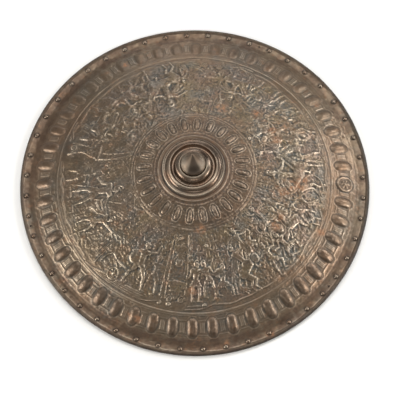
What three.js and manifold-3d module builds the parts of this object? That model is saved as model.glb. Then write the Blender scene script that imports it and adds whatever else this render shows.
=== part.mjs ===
// A round embossed parade shield of the buckler kind, lying on its rolled rim with the spike up.
// Millimetres, +Z up. The origin is on the floor, under the middle of the rim.
// Angles run about +Z from the -Y side (0) through the +X side (90 degrees).

import * as THREE from 'three';
import { mergeVertices } from 'three/addons/utils/BufferGeometryUtils.js';
import Module from 'manifold-3d';

const wasm = await Module();
wasm.setup();

// Driving dimensions: the plate
const RIM_RADIUS = 290;            // outside of the rolled rim
const ROLL_RADIUS = 3.5;           // section of the rolled rim
const PLATE_THICKNESS = 1.5;       // measured along Z
const BRIM_HEIGHT = 5.2;           // top of the flat brim
const APEX_HEIGHT = 100;           // where the dome would meet the axis
const TAPER = 0.2;                 // slope of the dome at the axis
const CROWN = 0.00054;             // how fast that slope grows outward, per mm
const SHOULDER_SOFTNESS = 1.0;     // rounding where the dome meets the brim
const BORE_RADIUS = 8.5;           // hole for the spike's shank
const PLATE_SEGMENTS = 48;         // one to each outer oval, with its edges between the ovals
const BRIM_EDGES = [275, 264];     // outer and inner edge of the step from brim to oval band
const FIELD_MIDDLE = 165;          // one more ring in the wide plain band
const UNDERSIDE_RADII = [BORE_RADIUS, 120, 228, 274];

// The rim is a little out of true: an oval part and a three-lobed part
const OVALITY = 0.0055;
const LOBING = 0.0044;

// Raised rings of the plate: [radius, half width, height]
const NECK_RING = [56.4, 3.4, 2.2];
const COLLAR_BEAD = [101.5, 2.2, 1.1];
const FIELD_BEAD = [228.4, 2.6, 1.3];

// Ovals: the outer row has one round disc in it
const OUTER_OVALS = { count: 48, firstAngle: 3.39, radius: 247.9, halfLength: 13, halfWidth: 7.7, height: 4.2 };
const INNER_OVALS = { count: 24, firstAngle: 7.29, radius: 80.5, halfLength: 12.5, halfWidth: 4.6, height: 2.2 };
const ROUNDEL = { index: 11, halfLength: 13.5, halfWidth: 13.5, height: 3.0 };
const OVAL_SIDES = 8;
const ROUNDEL_SIDES = 16;

// Lining rivets and the three empty holes between them
const RIVETS = { count: 48, firstAngle: -0.55, radius: 279.4 };
const RIVET_HEAD_RADIUS = 3.4;
const RIVET_HEAD_HEIGHT = 1.7;
const RIVET_SHANK_RADIUS = 1.5;
const RIVET_TAIL = 1.2;            // how far the shank stands out behind the plate
const RIVET_SIDES = 5;
const CUTTER_LENGTH = 30;          // along Z, well past both faces of the plate
const EMPTY_HOLE_ANGLES = [47.8, 153.2, 280.6];
const EMPTY_HOLE_RADIUS = 1.6;

// Boss and spike
const BOSS_SEGMENTS = 24;
const SPIKE_SEGMENTS = 16;
const BOSS_RADIUS = 50.9;
const SEAT_HEIGHT = 102;           // flat on the boss that the spike's ball stands on
const SHANK_RADIUS = 8.2;
const SPREAD_RADIUS = 14;          // end of the shank, spread behind the plate
const SPREAD_HEIGHT = 4.2;
const BALL_RADIUS = 20.4;
const TIP_HEIGHT = 146.8;
const GAP = 0.3;                   // between pieces that touch

const iron = new THREE.MeshStandardMaterial({ color: 0x69584a, roughness: 0.5, metalness: 0.85 });
const darkIron = new THREE.MeshStandardMaterial({ color: 0x5e4d42, roughness: 0.4, metalness: 0.9 });
const rivetIron = new THREE.MeshStandardMaterial({ color: 0x6f6152, roughness: 0.5, metalness: 0.85 });

const radians = THREE.MathUtils.degToRad;

// Height of the plate's plain upper surface: a low dome that eases into the flat brim
function plateTop(radius) {
  const dome = APEX_HEIGHT - TAPER * radius - CROWN * radius * radius;
  const aboveBrim = Math.exp((dome - BRIM_HEIGHT) / SHOULDER_SOFTNESS);
  return BRIM_HEIGHT + SHOULDER_SOFTNESS * Math.log1p(aboveBrim);
}

// How far out of true a ring is at an angle; the fault fades towards the middle
function trueness(angle, radius) {
  const fault = OVALITY * Math.sin(2 * angle) + LOBING * Math.cos(3 * angle);
  return 1 + fault * (radius / RIM_RADIUS) ** 4;
}

function onPlate(radius, angle, height) {
  const r = radius * trueness(angle, radius);
  return new THREE.Vector3(r * Math.sin(angle), -r * Math.cos(angle), height);
}

// Turns an outline of [radius, height] points, counterclockwise, about +Z
function lathe(points, segments) {
  const outline = points.map(([radius, height]) => new THREE.Vector2(radius, height));
  return welded(new THREE.LatheGeometry(outline, segments).rotateX(Math.PI / 2));
}

// Shares the vertices that coincide and drops the triangles that have no area
function welded(geometry) {
  geometry.deleteAttribute('normal');
  geometry.deleteAttribute('uv');
  const merged = mergeVertices(geometry, 1e-4);
  const corners = merged.index.array;
  const kept = [];
  for (let i = 0; i < corners.length; i += 3) {
    const [a, b, c] = corners.slice(i, i + 3);
    if (a !== b && b !== c && c !== a) kept.push(a, b, c);
  }
  merged.setIndex(kept);
  return merged;
}

function solidOf(geometry) {
  const vertProperties = new Float32Array(geometry.attributes.position.array);
  const triVerts = new Uint32Array(geometry.index.array);
  return new wasm.Manifold(new wasm.Mesh({ numProp: 3, vertProperties, triVerts }));
}

function geometryOf(solid) {
  const mesh = solid.getMesh();
  const geometry = new THREE.BufferGeometry();
  geometry.setAttribute('position', new THREE.BufferAttribute(mesh.vertProperties, 3));
  geometry.setIndex(new THREE.BufferAttribute(mesh.triVerts, 1));
  return geometry;
}

// A skin is a list of triangle corners. Rings run counterclockwise as seen from above, and a strip
// faces up where its second ring is the inner one.
function addStrip(skin, first, second) {
  first.forEach((corner, i) => {
    const next = (i + 1) % first.length;
    skin.push(corner, first[next], second[next], corner, second[next], second[i]);
  });
}

function addCap(skin, ring) {
  for (let i = 1; i + 1 < ring.length; i += 1) {
    skin.push(ring[0], ring[i], ring[i + 1]);
  }
}

// Fills a border round a hole with triangles that face up
function addBorder(skin, border, hole) {
  const corners = [...border, ...hole];
  const faces = THREE.ShapeUtils.triangulateShape(border, [hole]);
  for (const face of faces) {
    const [a, b, c] = face.map((index) => corners[index]);
    const turn = (b.x - a.x) * (c.y - a.y) - (b.y - a.y) * (c.x - a.x);
    skin.push(...(turn > 0 ? [a, b, c] : [a, c, b]));
  }
}

function geometryOfSkin(skin) {
  const geometry = new THREE.BufferGeometry().setFromPoints(skin);
  return mergeVertices(geometry, 1e-4);
}

// A raised form is a stack of rings: [share of half width, share of half length, height] each
const OVAL_LEVELS = [[1, 1, 0], [0.62, 0.78, 1]];
const ROUNDEL_LEVELS = [[1, 1, 0], [0.94, 0.94, 1], [0.82, 0.82, 0.45], [0.46, 0.46, 0.45], [0.26, 0.26, 1]];

function formRings({ radius, halfWidth, halfLength, height }, levels, sides, angle) {
  return levels.map(([widthShare, lengthShare, heightShare]) =>
    Array.from({ length: sides }, (_, i) => {
      const turn = ((i + 0.5) / sides) * 2 * Math.PI;
      const r = radius - halfLength * lengthShare * Math.sin(turn);
      const across = halfWidth * widthShare * Math.cos(turn);
      return onPlate(r, angle + across / r, plateTop(r) + height * heightShare);
    }));
}

function outerForm(angle, i) {
  if (i !== ROUNDEL.index) return formRings(OUTER_OVALS, OVAL_LEVELS, OVAL_SIDES, angle);
  return formRings({ ...ROUNDEL, radius: OUTER_OVALS.radius }, ROUNDEL_LEVELS, ROUNDEL_SIDES, angle);
}

function innerForm(angle) {
  return formRings(INNER_OVALS, OVAL_LEVELS, OVAL_SIDES, angle);
}

// The band between two rings, with one raised form in each of its equal sectors
function addBandOfForms(skin, outer, inner, forms) {
  const span = outer.length / forms.length;
  forms.forEach((form, k) => {
    const corners = Array.from({ length: span + 1 }, (_, i) => (k * span + i) % outer.length);
    const outerEdge = corners.map((i) => outer[i]);
    const innerEdge = corners.reverse().map((i) => inner[i]);
    addBorder(skin, [...outerEdge, ...innerEdge], form[0]);
    for (let level = 0; level + 1 < form.length; level += 1) {
      addStrip(skin, form[level], form[level + 1]);
    }
    addCap(skin, form.at(-1));
  });
}

function row({ count, firstAngle }) {
  return Array.from({ length: count }, (_, i) => radians(firstAngle + (i * 360) / count));
}

// Three outline points across a raised ring, outermost first
function ringOutline([radius, halfWidth, height]) {
  return [halfWidth, 0, -halfWidth].map((offset) => {
    const r = radius + offset;
    return [r, plateTop(r) + (offset === 0 ? height : 0)];
  });
}

// The section between the two bands of ovals, outermost first
function fieldOutline() {
  return [...ringOutline(FIELD_BEAD), [FIELD_MIDDLE, plateTop(FIELD_MIDDLE)], ...ringOutline(COLLAR_BEAD)];
}

// The rest of the section, from the neck ring down the bore, out below and round the rim
function bodyOutline() {
  const underside = UNDERSIDE_RADII.map((r) => [r, plateTop(r) - PLATE_THICKNESS]);
  const rollCentre = RIM_RADIUS - ROLL_RADIUS;
  const halfFlat = ROLL_RADIUS * Math.tan(Math.PI / 8);
  const roll = [
    [rollCentre - ROLL_RADIUS, ROLL_RADIUS - halfFlat],
    [rollCentre - halfFlat, 0],
    [rollCentre + halfFlat, 0],
    [RIM_RADIUS, ROLL_RADIUS - halfFlat],
    [RIM_RADIUS, ROLL_RADIUS + halfFlat],
    [rollCentre + halfFlat, 2 * ROLL_RADIUS],
    [rollCentre - halfFlat, 2 * ROLL_RADIUS],
    [rollCentre - ROLL_RADIUS, BRIM_HEIGHT],
  ];
  const brim = BRIM_EDGES.map((r) => [r, plateTop(r)]);
  return [...ringOutline(NECK_RING), [BORE_RADIUS, plateTop(BORE_RADIUS)], ...underside, ...roll, ...brim];
}

function ringsOf(outline) {
  const step = (2 * Math.PI) / PLATE_SEGMENTS;
  const firstEdge = radians(OUTER_OVALS.firstAngle) - step / 2;
  const angles = Array.from({ length: PLATE_SEGMENTS }, (_, i) => firstEdge + i * step);
  return outline.map(([radius, height]) => angles.map((angle) => onPlate(radius, angle, height)));
}

function embossedPlate() {
  const skin = [];
  const body = ringsOf(bodyOutline());
  const field = ringsOf(fieldOutline());
  for (const rings of [body, field]) {
    for (let i = 0; i + 1 < rings.length; i += 1) {
      addStrip(skin, rings[i], rings[i + 1]);
    }
  }
  addBandOfForms(skin, body.at(-1), field[0], row(OUTER_OVALS).map(outerForm));
  addBandOfForms(skin, field.at(-1), body[0], row(INNER_OVALS).map(innerForm));
  return geometryOfSkin(skin);
}

function holeCutter(radius, angle, holeRadius, sides) {
  const foot = onPlate(radius, angle, 0);
  const cylinder = new THREE.CylinderGeometry(holeRadius, holeRadius, CUTTER_LENGTH, sides);
  return solidOf(welded(cylinder.rotateX(Math.PI / 2)).rotateZ(angle).translate(foot.x, foot.y, foot.z));
}

function plateGeometry() {
  let plate = solidOf(embossedPlate());
  for (const angle of row(RIVETS)) {
    plate = plate.subtract(holeCutter(RIVETS.radius, angle, RIVET_SHANK_RADIUS + GAP, RIVET_SIDES));
  }
  for (const angle of EMPTY_HOLE_ANGLES) {
    plate = plate.subtract(holeCutter(RIVETS.radius, radians(angle), EMPTY_HOLE_RADIUS, RIVET_SIDES));
  }
  return geometryOf(plate);
}

// The boss follows the plate below. From its edge it rises over a bead, a hollow band, the lip of a
// channel and a ring that the ball sits in
function bossOutline() {
  const bore = SHANK_RADIUS + GAP;
  const underside = [bore, 30, BOSS_RADIUS - 0.8].map((r) => [r, plateTop(r) + GAP]);
  return [
    ...underside,
    [BOSS_RADIUS, 90.0], [50.8, 92.0], [49.4, 93.3],                 // bead round the outer edge
    [47.2, 92.2], [44.8, 92.8], [42.2, 94.4],                        // hollow band
    [40.8, 96.6], [39.6, 98.2], [38.2, 98.6], [37.0, 97.8],          // lip of the channel
    [36.0, 95.2], [34.6, 94.0], [31.0, 94.2],                        // floor of the channel
    [29.6, 99.4], [28.2, 101.8], [25.6, 103.4], [23.4, 104.5],       // ring round the ball
    [22.0, 104.8], [20.4, SEAT_HEIGHT + 0.1],
    [bore, SEAT_HEIGHT],
    underside[0],
  ];
}

// From the spread end behind the plate, up the shank, round the ball and in to the point
function spikeOutline() {
  const spreadTop = plateTop(SPREAD_RADIUS) - PLATE_THICKNESS - GAP;
  const ballFoot = SEAT_HEIGHT + GAP;
  const shoulder = [
    [17, ballFoot], [19.5, 104.6], [BALL_RADIUS, 107.4], [19.8, 110.8], [17.6, 114.8],
    [14.2, 119.4], [10.8, 124.4], [7.6, 130.4], [4.6, 137.2], [1.6, 144.6],
  ];
  return [
    [0, spreadTop - SPREAD_HEIGHT], [SPREAD_RADIUS - 5, spreadTop - 3.6], [SPREAD_RADIUS, spreadTop],
    [SHANK_RADIUS, spreadTop], [SHANK_RADIUS, ballFoot],
    ...shoulder,
    [0, TIP_HEIGHT],
  ];
}

// A round head on the plate and a plain shank through it
function rivetGeometry(angle) {
  const plateHeight = plateTop(RIVETS.radius);
  const headFoot = plateTop(RIVETS.radius - RIVET_HEAD_RADIUS) + GAP;
  const outline = [
    [0, plateHeight - PLATE_THICKNESS - RIVET_TAIL],
    [RIVET_SHANK_RADIUS, plateHeight - PLATE_THICKNESS - RIVET_TAIL],
    [RIVET_SHANK_RADIUS, headFoot],
    [RIVET_HEAD_RADIUS, headFoot],
    [RIVET_HEAD_RADIUS * 0.6, headFoot + RIVET_HEAD_HEIGHT],
    [0, headFoot + RIVET_HEAD_HEIGHT],
  ];
  const foot = onPlate(RIVETS.radius, angle, 0);
  return lathe(outline, RIVET_SIDES).rotateZ(angle).translate(foot.x, foot.y, foot.z);
}

function piece(name, geometry, material) {
  geometry.computeVertexNormals();
  const mesh = new THREE.Mesh(geometry, material);
  mesh.name = name;
  return mesh;
}

const shield = new THREE.Group();
shield.add(piece('shield_plate', plateGeometry(), iron));
shield.add(piece('boss', lathe(bossOutline(), BOSS_SEGMENTS), darkIron));
shield.add(piece('spike', lathe(spikeOutline(), SPIKE_SEGMENTS), darkIron));
row(RIVETS).forEach((angle, i) => {
  shield.add(piece(`rivet_${String(i + 1).padStart(2, '0')}`, rivetGeometry(angle), rivetIron));
});

export default shield;
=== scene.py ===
import math

import bmesh
import bpy
import numpy as np
from mathutils import Matrix, Vector


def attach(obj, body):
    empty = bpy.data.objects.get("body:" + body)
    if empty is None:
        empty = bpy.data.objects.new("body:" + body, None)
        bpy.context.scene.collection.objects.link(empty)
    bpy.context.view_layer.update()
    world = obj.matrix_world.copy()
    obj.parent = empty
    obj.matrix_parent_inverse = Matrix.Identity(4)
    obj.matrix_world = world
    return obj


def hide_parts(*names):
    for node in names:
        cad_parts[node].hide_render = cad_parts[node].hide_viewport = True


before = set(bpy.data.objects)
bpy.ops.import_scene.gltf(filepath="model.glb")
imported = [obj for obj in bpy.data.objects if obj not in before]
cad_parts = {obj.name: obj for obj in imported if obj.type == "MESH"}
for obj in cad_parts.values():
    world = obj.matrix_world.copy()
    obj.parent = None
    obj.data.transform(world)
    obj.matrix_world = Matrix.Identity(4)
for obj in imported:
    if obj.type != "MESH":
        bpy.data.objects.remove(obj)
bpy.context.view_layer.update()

# The shield lies on its rim, spike up. Relief is drawn in millimetres on a square grid seen from
# above and then carried onto polar meshes in metres. Angles are in degrees from the -Y side
# towards +X, and every figure stands with its feet to the rim and its head to the boss.
MM = 0.001

# Plate section, the same rule as in the CAD source. The dome falls from its apex by TAPER to the
# first power of the radius and CROWN to the second; the last two are how far the rim is from round.
RIM_RADIUS = 290.0
ROLL_RADIUS = 3.5
PLATE_THICKNESS = 1.5
BRIM_HEIGHT = 5.2
APEX_HEIGHT = 100.0
TAPER = 0.2
CROWN = 0.00054
OVALITY = 0.0055
LOBING = 0.0044

# Rows of ornament: count, angle of the first one, radius
OUTER_ROW = (48, 3.39, 247.9)
INNER_ROW = (24, 7.29, 80.5)
RIVET_ROW = (48, -0.55, 279.4)
ROUNDEL_INDEX = 11                       # the member of the outer row that is a disc
EMPTY_HOLES = (47.8, 153.2, 280.6)       # angles of the holes without a rivet

# The band of figures
FIELD_INNER = 104.0
FIELD_OUTER = 225.0


# ---------------------------------------------------------------- plate section
def plate_top(r):
    """Height of the unworked face: a dome that runs smoothly into the flat brim."""
    dome = APEX_HEIGHT - TAPER * r - CROWN * r * r
    return BRIM_HEIGHT + np.logaddexp(0.0, dome - BRIM_HEIGHT)


def plate_slope(r):
    """Fall of the face for each millimetre outward."""
    return plate_top(r - 0.5) - plate_top(r + 0.5)


def trueness(t, r):
    """Share by which a radius is longer or shorter at an angle in radians: the rim is not quite round."""
    fault = OVALITY * np.sin(2 * t) + LOBING * np.cos(3 * t)
    return 1 + fault * (r / RIM_RADIUS) ** 4


def polar(t_degrees, r):
    """Plan point at an angle round the shield and a radius."""
    t = math.radians(t_degrees)
    return np.array([r * math.sin(t), -r * math.cos(t)])


def smooth_step(x, low, high):
    """0 below low, 1 above high and a smooth rise between them."""
    s = np.clip((x - low) / (high - low), 0, 1)
    return s * s * (3 - 2 * s)


def peak(value, middle, half_width, power=2):
    """1 at a value, falling to 0 on both sides of it."""
    return np.exp(-((value - middle) / half_width) ** power)


def from_line(x, y, a, b):
    """Squared distance of points from the line between a and b, and how far along it, 0 to 1."""
    (ax, ay), (bx, by) = a, b
    px, py, dx, dy = x - ax, y - ay, bx - ax, by - ay
    share = np.clip((px * dx + py * dy) / max(dx * dx + dy * dy, 1e-9), 0, 1)
    return (px - dx * share) ** 2 + (py - dy * share) ** 2, share


# ---------------------------------------------------------------- the relief grid
PITCH = 0.5              # mm between points
HALF = 300.0             # half the width of the grid
AXIS = np.arange(-HALF, HALF + PITCH, PITCH, dtype=np.float32)
ROUNDING = 0.66          # how far a limb stands out, as a share of its half width
SLIMNESS = 0.86          # share of the drawn limb widths that is used
EDGE = 0.55              # mm over which a form's edge rises
FRONT_RANK = 1.0         # figures at or above this level stand clear of the ones behind them
relief = np.zeros((len(AXIS), len(AXIS)), np.float32)


def window(centre, reach):
    """The part of the grid within reach of a point, and its x and y."""
    rows = slice(*np.searchsorted(AXIS, (centre[1] - reach, centre[1] + reach)))
    cols = slice(*np.searchsorted(AXIS, (centre[0] - reach, centre[0] + reach)))
    x, y = np.meshgrid(AXIS[cols], AXIS[rows])
    return (rows, cols), x, y


def blurred(field, sigma):
    """The grid smoothed by a Gaussian of sigma millimetres."""
    spectrum = np.fft.rfft2(field)
    fy = np.fft.fftfreq(field.shape[0], PITCH)[:, None]
    fx = np.fft.rfftfreq(field.shape[1], PITCH)[None, :]
    spectrum *= np.exp(-2 * (math.pi * sigma) ** 2 * (fx * fx + fy * fy))
    return np.fft.irfft2(spectrum, field.shape).astype(np.float32)


def grain(seed, sigma):
    """Smooth random bumps about sigma millimetres across, with unit spread."""
    noise = blurred(np.random.default_rng(seed).standard_normal(relief.shape), sigma)
    return noise / noise.std()


class Stamp:
    """One drawing pressed into the relief. Its own unit is its size in millimetres: u runs to the
    right and v towards the boss, from a foot point on the plate."""

    def __init__(self, t, r, size, tilt=0.0, mirror=False, level=0.5, reach=1.5):
        self.size = size
        self.level = level
        turn = math.radians(t + tilt)
        foot = polar(t, r)
        self.place, x, y = window(foot, reach * size)
        dx, dy = (x - foot[0]) / size, (y - foot[1]) / size
        flip = -1 if mirror else 1
        self.u = flip * (dx * math.cos(turn) + dy * math.sin(turn))
        self.v = -dx * math.sin(turn) + dy * math.cos(turn)
        self.height = np.zeros_like(x)
        self.distance = np.full_like(x, 1e3)

    def _add(self, distance, height):
        """Joins a form to the drawing: distance is negative inside its outline."""
        inside = distance < 0
        step = smooth_step(-distance, -EDGE / 2, EDGE)
        self.height = np.where(inside, np.maximum(self.height, height * step), self.height)
        self.distance = np.minimum(self.distance, distance)

    def limb(self, a, b, ra, rb, lift=0.0, flat=1.0):
        """A round form that tapers from radius ra at a to rb at b."""
        away2, share = from_line(self.u, self.v, a, b)
        radius = (ra + (rb - ra) * share) * SLIMNESS
        crest = np.sqrt(np.maximum(radius * radius - away2, 0))
        self._add((np.sqrt(away2) - radius) * self.size, lift + ROUNDING * flat * crest * self.size)

    def blob(self, c, ru, rv, turn=0.0, lift=0.0, flat=1.0):
        """An egg-shaped form with half axes ru and rv."""
        w = math.radians(turn)
        px, py = self.u - c[0], self.v - c[1]
        qx = (px * math.cos(w) + py * math.sin(w)) / ru
        qy = (-px * math.sin(w) + py * math.cos(w)) / rv
        q = np.sqrt(qx * qx + qy * qy)
        small = min(ru, rv)
        crest = small * np.sqrt(np.maximum(1 - q * q, 0))
        self._add((q - 1) * small * self.size, lift + ROUNDING * flat * crest * self.size)

    def path(self, points, r0, r1, lift=0.0):
        """A chain of limbs through the points, tapering from r0 to r1."""
        n = len(points) - 1
        for i in range(n):
            ra = r0 + (r1 - r0) * i / n
            rb = r0 + (r1 - r0) * (i + 1) / n
            self.limb(points[i], points[i + 1], ra, rb, lift)

    def plate(self, corners, height):
        """A flat raised shape with straight sides, corners counterclockwise in u and v."""
        inside = np.full_like(self.u, -1e3)
        for (ax, ay), (bx, by) in zip(corners, corners[1:] + corners[:1]):
            length = math.hypot(bx - ax, by - ay)
            outward = ((self.u - ax) * (by - ay) - (self.v - ay) * (bx - ax)) / length
            inside = np.maximum(inside, outward)
        self._add(inside * self.size, np.full_like(self.u, height))

    def groove(self, a, b, radius, depth):
        """A soft cut along a line."""
        away2, _ = from_line(self.u, self.v, a, b)
        self.height -= depth * np.exp(-away2 / (radius * radius))

    def press(self, moat=0.5, reach=1.2):
        """Puts the drawing on the plate. The ground is cut back by the share moat within reach of its
        outline, more round the figures of the front rank."""
        if self.level >= FRONT_RANK:
            moat, reach = 0.75, 2.4
        ground = relief[self.place]
        outside = np.maximum(self.distance, 0)
        cut = 1 - moat * np.exp(-(outside / reach) ** 2)
        rise = smooth_step(-self.distance, -EDGE, EDGE * 0.6)
        raised = (self.level + self.height * min(1.0, 0.25 + 0.75 * self.level)) * rise
        relief[self.place] = np.where(self.distance < EDGE, np.maximum(ground * cut, raised), ground * cut)


def toward(start, degrees, length):
    """The point at that distance, degrees counted from straight down towards +u."""
    a = math.radians(degrees)
    return (start[0] + length * math.sin(a), start[1] - length * math.cos(a))


def between(a, b, share):
    """The point at a share of the way from a to b."""
    return (a[0] + (b[0] - a[0]) * share, a[1] + (b[1] - a[1]) * share)


# ---------------------------------------------------------------- people
def head(s, neck, facing, helmet, lean=0.0, scale=1.0, lift=0.9):
    """A head about an eighth of the figure high, turned to its side, with plain features."""
    k = scale
    crown = (neck[0] + 0.012 * facing * k + lean * 0.1 * k, neck[1] + 0.105 * k)
    chin = (neck[0] + 0.022 * facing * k + lean * 0.05 * k, neck[1] + 0.045 * k)
    s.limb(neck, chin, 0.034 * k, 0.032 * k, lift - 0.4)
    s.limb(chin, crown, 0.038 * k, 0.056 * k, lift)
    brow = (crown[0] + 0.046 * facing * k, crown[1] - 0.012 * k)
    tip = (chin[0] + 0.050 * facing * k, chin[1] + 0.026 * k)
    s.limb(brow, tip, 0.008 * k, 0.014 * k, lift)
    temple = (crown[0] + 0.02 * facing * k, crown[1] - 0.02 * k)
    s.groove(between(brow, tip, 0.2), temple, 0.010 * k, 0.5)
    mouth = (tip[0] - 0.012 * facing * k, chin[1] + 0.006 * k)
    s.groove(mouth, (chin[0] + 0.01 * facing * k, chin[1]), 0.007 * k, 0.4)
    if helmet:
        back = (crown[0] - 0.012 * facing * k, crown[1] + 0.012 * k)
        s.limb(back, (back[0] - 0.022 * facing * k, back[1] - 0.035 * k), 0.062 * k, 0.050 * k, lift + 0.5)
        nape = (back[0] - 0.06 * facing * k, back[1] - 0.03 * k)
        s.limb((brow[0], brow[1] + 0.012 * k), nape, 0.012 * k, 0.012 * k, lift + 1.4)
        crest = [(back[0] + 0.055 * math.cos(a) * facing * k, back[1] + 0.01 * k + 0.085 * math.sin(a) * k)
                 for a in np.radians((35, 65, 95, 125, 155, 185))]
        s.path(crest, 0.017 * k, 0.026 * k, lift + 0.8)
    else:
        for a in range(40, 230, 38):
            w = math.radians(a)
            curl = (crown[0] + 0.05 * math.cos(w) * facing * k, crown[1] + 0.052 * math.sin(w) * k)
            s.blob(curl, 0.018 * k, 0.018 * k, 0, lift + 0.7)


def cloak(s, shoulder, side):
    """Cloth blown out from a shoulder in four long folds."""
    for i in range(4):
        angle = side * (48 + 62 * i / 3)
        middle = toward(shoulder, angle, 0.23)
        end = toward(middle, angle + side * 22, 0.46 * (0.55 - 0.05 * i))
        s.path([shoulder, middle, end], 0.028, 0.032, 0.1)


def person(t, r, size, legs, arms, lean=0, facing=1, helmet=True, skirt=True, holds=None, shield=None,
           cape=0, tilt=0, level=0.7):
    """A standing or moving figure. Limb angles count from straight down; holds names what the
    second hand has, shield is the arm that carries one, cape is the side that the cloak blows to."""
    s = Stamp(t, r, size, tilt, False, level, 1.45)
    hip = (0.0, 0.52)
    feet = []
    joints = []
    for side, (upper, lower) in zip((-0.045, 0.045), legs):
        root = (hip[0] + side, hip[1])
        knee = toward(root, upper, 0.245)
        ankle = toward(knee, lower, 0.235)
        joints.append((root, knee, ankle))
        feet.append(ankle[1])
    drop = 0.045 - min(feet)
    joints = [[(p[0], p[1] + drop) for p in chain] for chain in joints]
    hip = (0.0, hip[1] + drop)
    chest = toward(hip, 180 - lean, 0.215)
    neck = toward(chest, 180 - lean, 0.095)
    across = (math.cos(math.radians(lean)), -math.sin(math.radians(lean)))
    shoulders = [(chest[0] + k * across[0], chest[1] + 0.058 + k * across[1]) for k in (-0.098, 0.098)]
    if cape:
        cloak(s, shoulders[0 if cape < 0 else 1], cape)
    hands = []
    for i, (start, (upper, lower)) in enumerate(zip(shoulders, arms)):
        elbow = toward(start, upper, 0.165)
        hand = toward(elbow, lower, 0.150)
        hands.append(hand)
        near = 0.5 if i else 0.15
        s.blob(start, 0.048, 0.046, 0, near)
        s.limb(start, elbow, 0.038, 0.029, near)
        s.limb(elbow, hand, 0.031, 0.019, near + 0.1)
        s.blob(hand, 0.025, 0.024, 0, near + 0.3)
    for i, (root, knee, ankle) in enumerate(joints):
        near = 0.35 if i else 0.0
        toes = toward(ankle, 78 * facing, 0.085)
        s.limb(root, knee, 0.062, 0.040, near)
        s.blob(between(root, knee, 0.35), 0.060, 0.075, 0, near)
        s.limb(knee, ankle, 0.040, 0.022, near)
        s.blob(between(knee, ankle, 0.3), 0.040, 0.062, 0, near)
        s.limb(ankle, toes, 0.026, 0.017, near)
    s.limb((hip[0] - 0.03, hip[1]), (hip[0] + 0.03, hip[1]), 0.072, 0.072, 0.4)
    s.limb(hip, chest, 0.070, 0.088, 0.45)
    s.limb(shoulders[0], shoulders[1], 0.058, 0.058, 0.45)
    s.blob(between(chest, shoulders[0], 0.45), 0.052, 0.045, 0, 1.1)
    s.blob(between(chest, shoulders[1], 0.45), 0.052, 0.045, 0, 1.1)
    s.groove(hip, (neck[0], neck[1] - 0.03), 0.012, 0.8)
    s.groove((chest[0] - 0.075, chest[1] - 0.03), (chest[0] + 0.075, chest[1] - 0.03), 0.011, 0.7)
    if skirt:
        for k in range(6):
            start = (hip[0] - 0.07 + 0.028 * k, hip[1] + 0.012)
            s.limb(start, toward(start, (k - 2.5) * 11, 0.135), 0.017, 0.022, 1.0)
        s.limb((hip[0] - 0.078, hip[1] + 0.03), (hip[0] + 0.078, hip[1] + 0.03), 0.018, 0.018, 1.9)
    head(s, neck, facing, helmet, lean / 90)
    if shield is not None:
        c = hands[shield]
        s.blob(c, 0.115, 0.135, 0, 1.2, 0.45)
        s.blob(c, 0.090, 0.108, 0, 1.75, 0.4)
        s.blob(c, 0.030, 0.030, 0, 2.4, 1.2)
    aim = math.degrees(math.atan2(hands[1][0] - shoulders[1][0], shoulders[1][1] - hands[1][1]))
    if holds == "sword":
        s.limb(toward(hands[1], aim + 60, -0.02), toward(hands[1], aim + 60, 0.26), 0.014, 0.008, 1.0)
        s.limb(toward(hands[1], aim - 30, -0.035), toward(hands[1], aim - 30, 0.035), 0.012, 0.012, 1.3)
    if holds == "spear":
        s.limb(toward(hands[1], 168, -0.55), toward(hands[1], 168, 0.55), 0.011, 0.010, 1.0)
        s.blob(toward(hands[1], 168, 0.60), 0.018, 0.055, -12, 1.0)
    s.press()


def crowd(t0, t1, r0, r1, count, size, seed):
    """Rows of heads and shoulders with lances behind the larger figures."""
    rng = np.random.default_rng(seed)
    for i in range(count):
        t = t0 + (t1 - t0) * (i + 0.5 + rng.uniform(-0.4, 0.4)) / count
        r = rng.uniform(r0, r1)
        s = Stamp(t, r, size * rng.uniform(0.85, 1.15), rng.uniform(-14, 14), rng.random() < 0.5, 0.3, 1.5)
        if rng.random() < 0.45:
            s.limb((0.1, -0.3), (0.1 + rng.uniform(-0.3, 0.3), 1.1), 0.016, 0.012, 0.0)
        s.limb((-0.13, -0.02), (0.13, 0.0), 0.085, 0.085, 0.0)
        s.limb((0.0, -0.25), (0.0, 0.0), 0.13, 0.11, 0.0)
        head(s, (0.0, 0.06), 1, rng.random() < 0.6, 0.0, 1.9, 0.35)
        s.press(0.6)


# ---------------------------------------------------------------- horses
# Joints of the two forelegs and then the two hind legs, each from the body down to the hoof
HORSE_LEGS = {
    "gallop": (((0.30, 0.62), (0.60, 0.50), (0.84, 0.40), (0.95, 0.27)),
               ((0.36, 0.60), (0.58, 0.42), (0.50, 0.22), (0.38, 0.14)),
               ((-0.44, 0.60), (-0.58, 0.38), (-0.86, 0.30), (-1.00, 0.10)),
               ((-0.38, 0.60), (-0.40, 0.36), (-0.66, 0.20), (-0.76, 0.03))),
    "walk": (((0.30, 0.60), (0.52, 0.46), (0.50, 0.24), (0.44, 0.13)),
             ((0.36, 0.60), (0.37, 0.34), (0.36, 0.16), (0.39, 0.03)),
             ((-0.38, 0.60), (-0.24, 0.38), (-0.32, 0.18), (-0.26, 0.03)),
             ((-0.44, 0.60), (-0.40, 0.38), (-0.54, 0.20), (-0.50, 0.03))),
    "rear": (((0.32, 0.62), (0.62, 0.66), (0.72, 0.48), (0.66, 0.36)),
             ((0.38, 0.60), (0.66, 0.50), (0.66, 0.28), (0.56, 0.20)),
             ((-0.44, 0.60), (-0.30, 0.34), (-0.46, 0.16), (-0.38, 0.02)),
             ((-0.38, 0.58), (-0.14, 0.34), (-0.28, 0.14), (-0.18, 0.00))),
}
FORELEG_RADII = (0.095, 0.052, 0.034, 0.028)
HIND_LEG_RADII = (0.130, 0.062, 0.036, 0.030)


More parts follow.
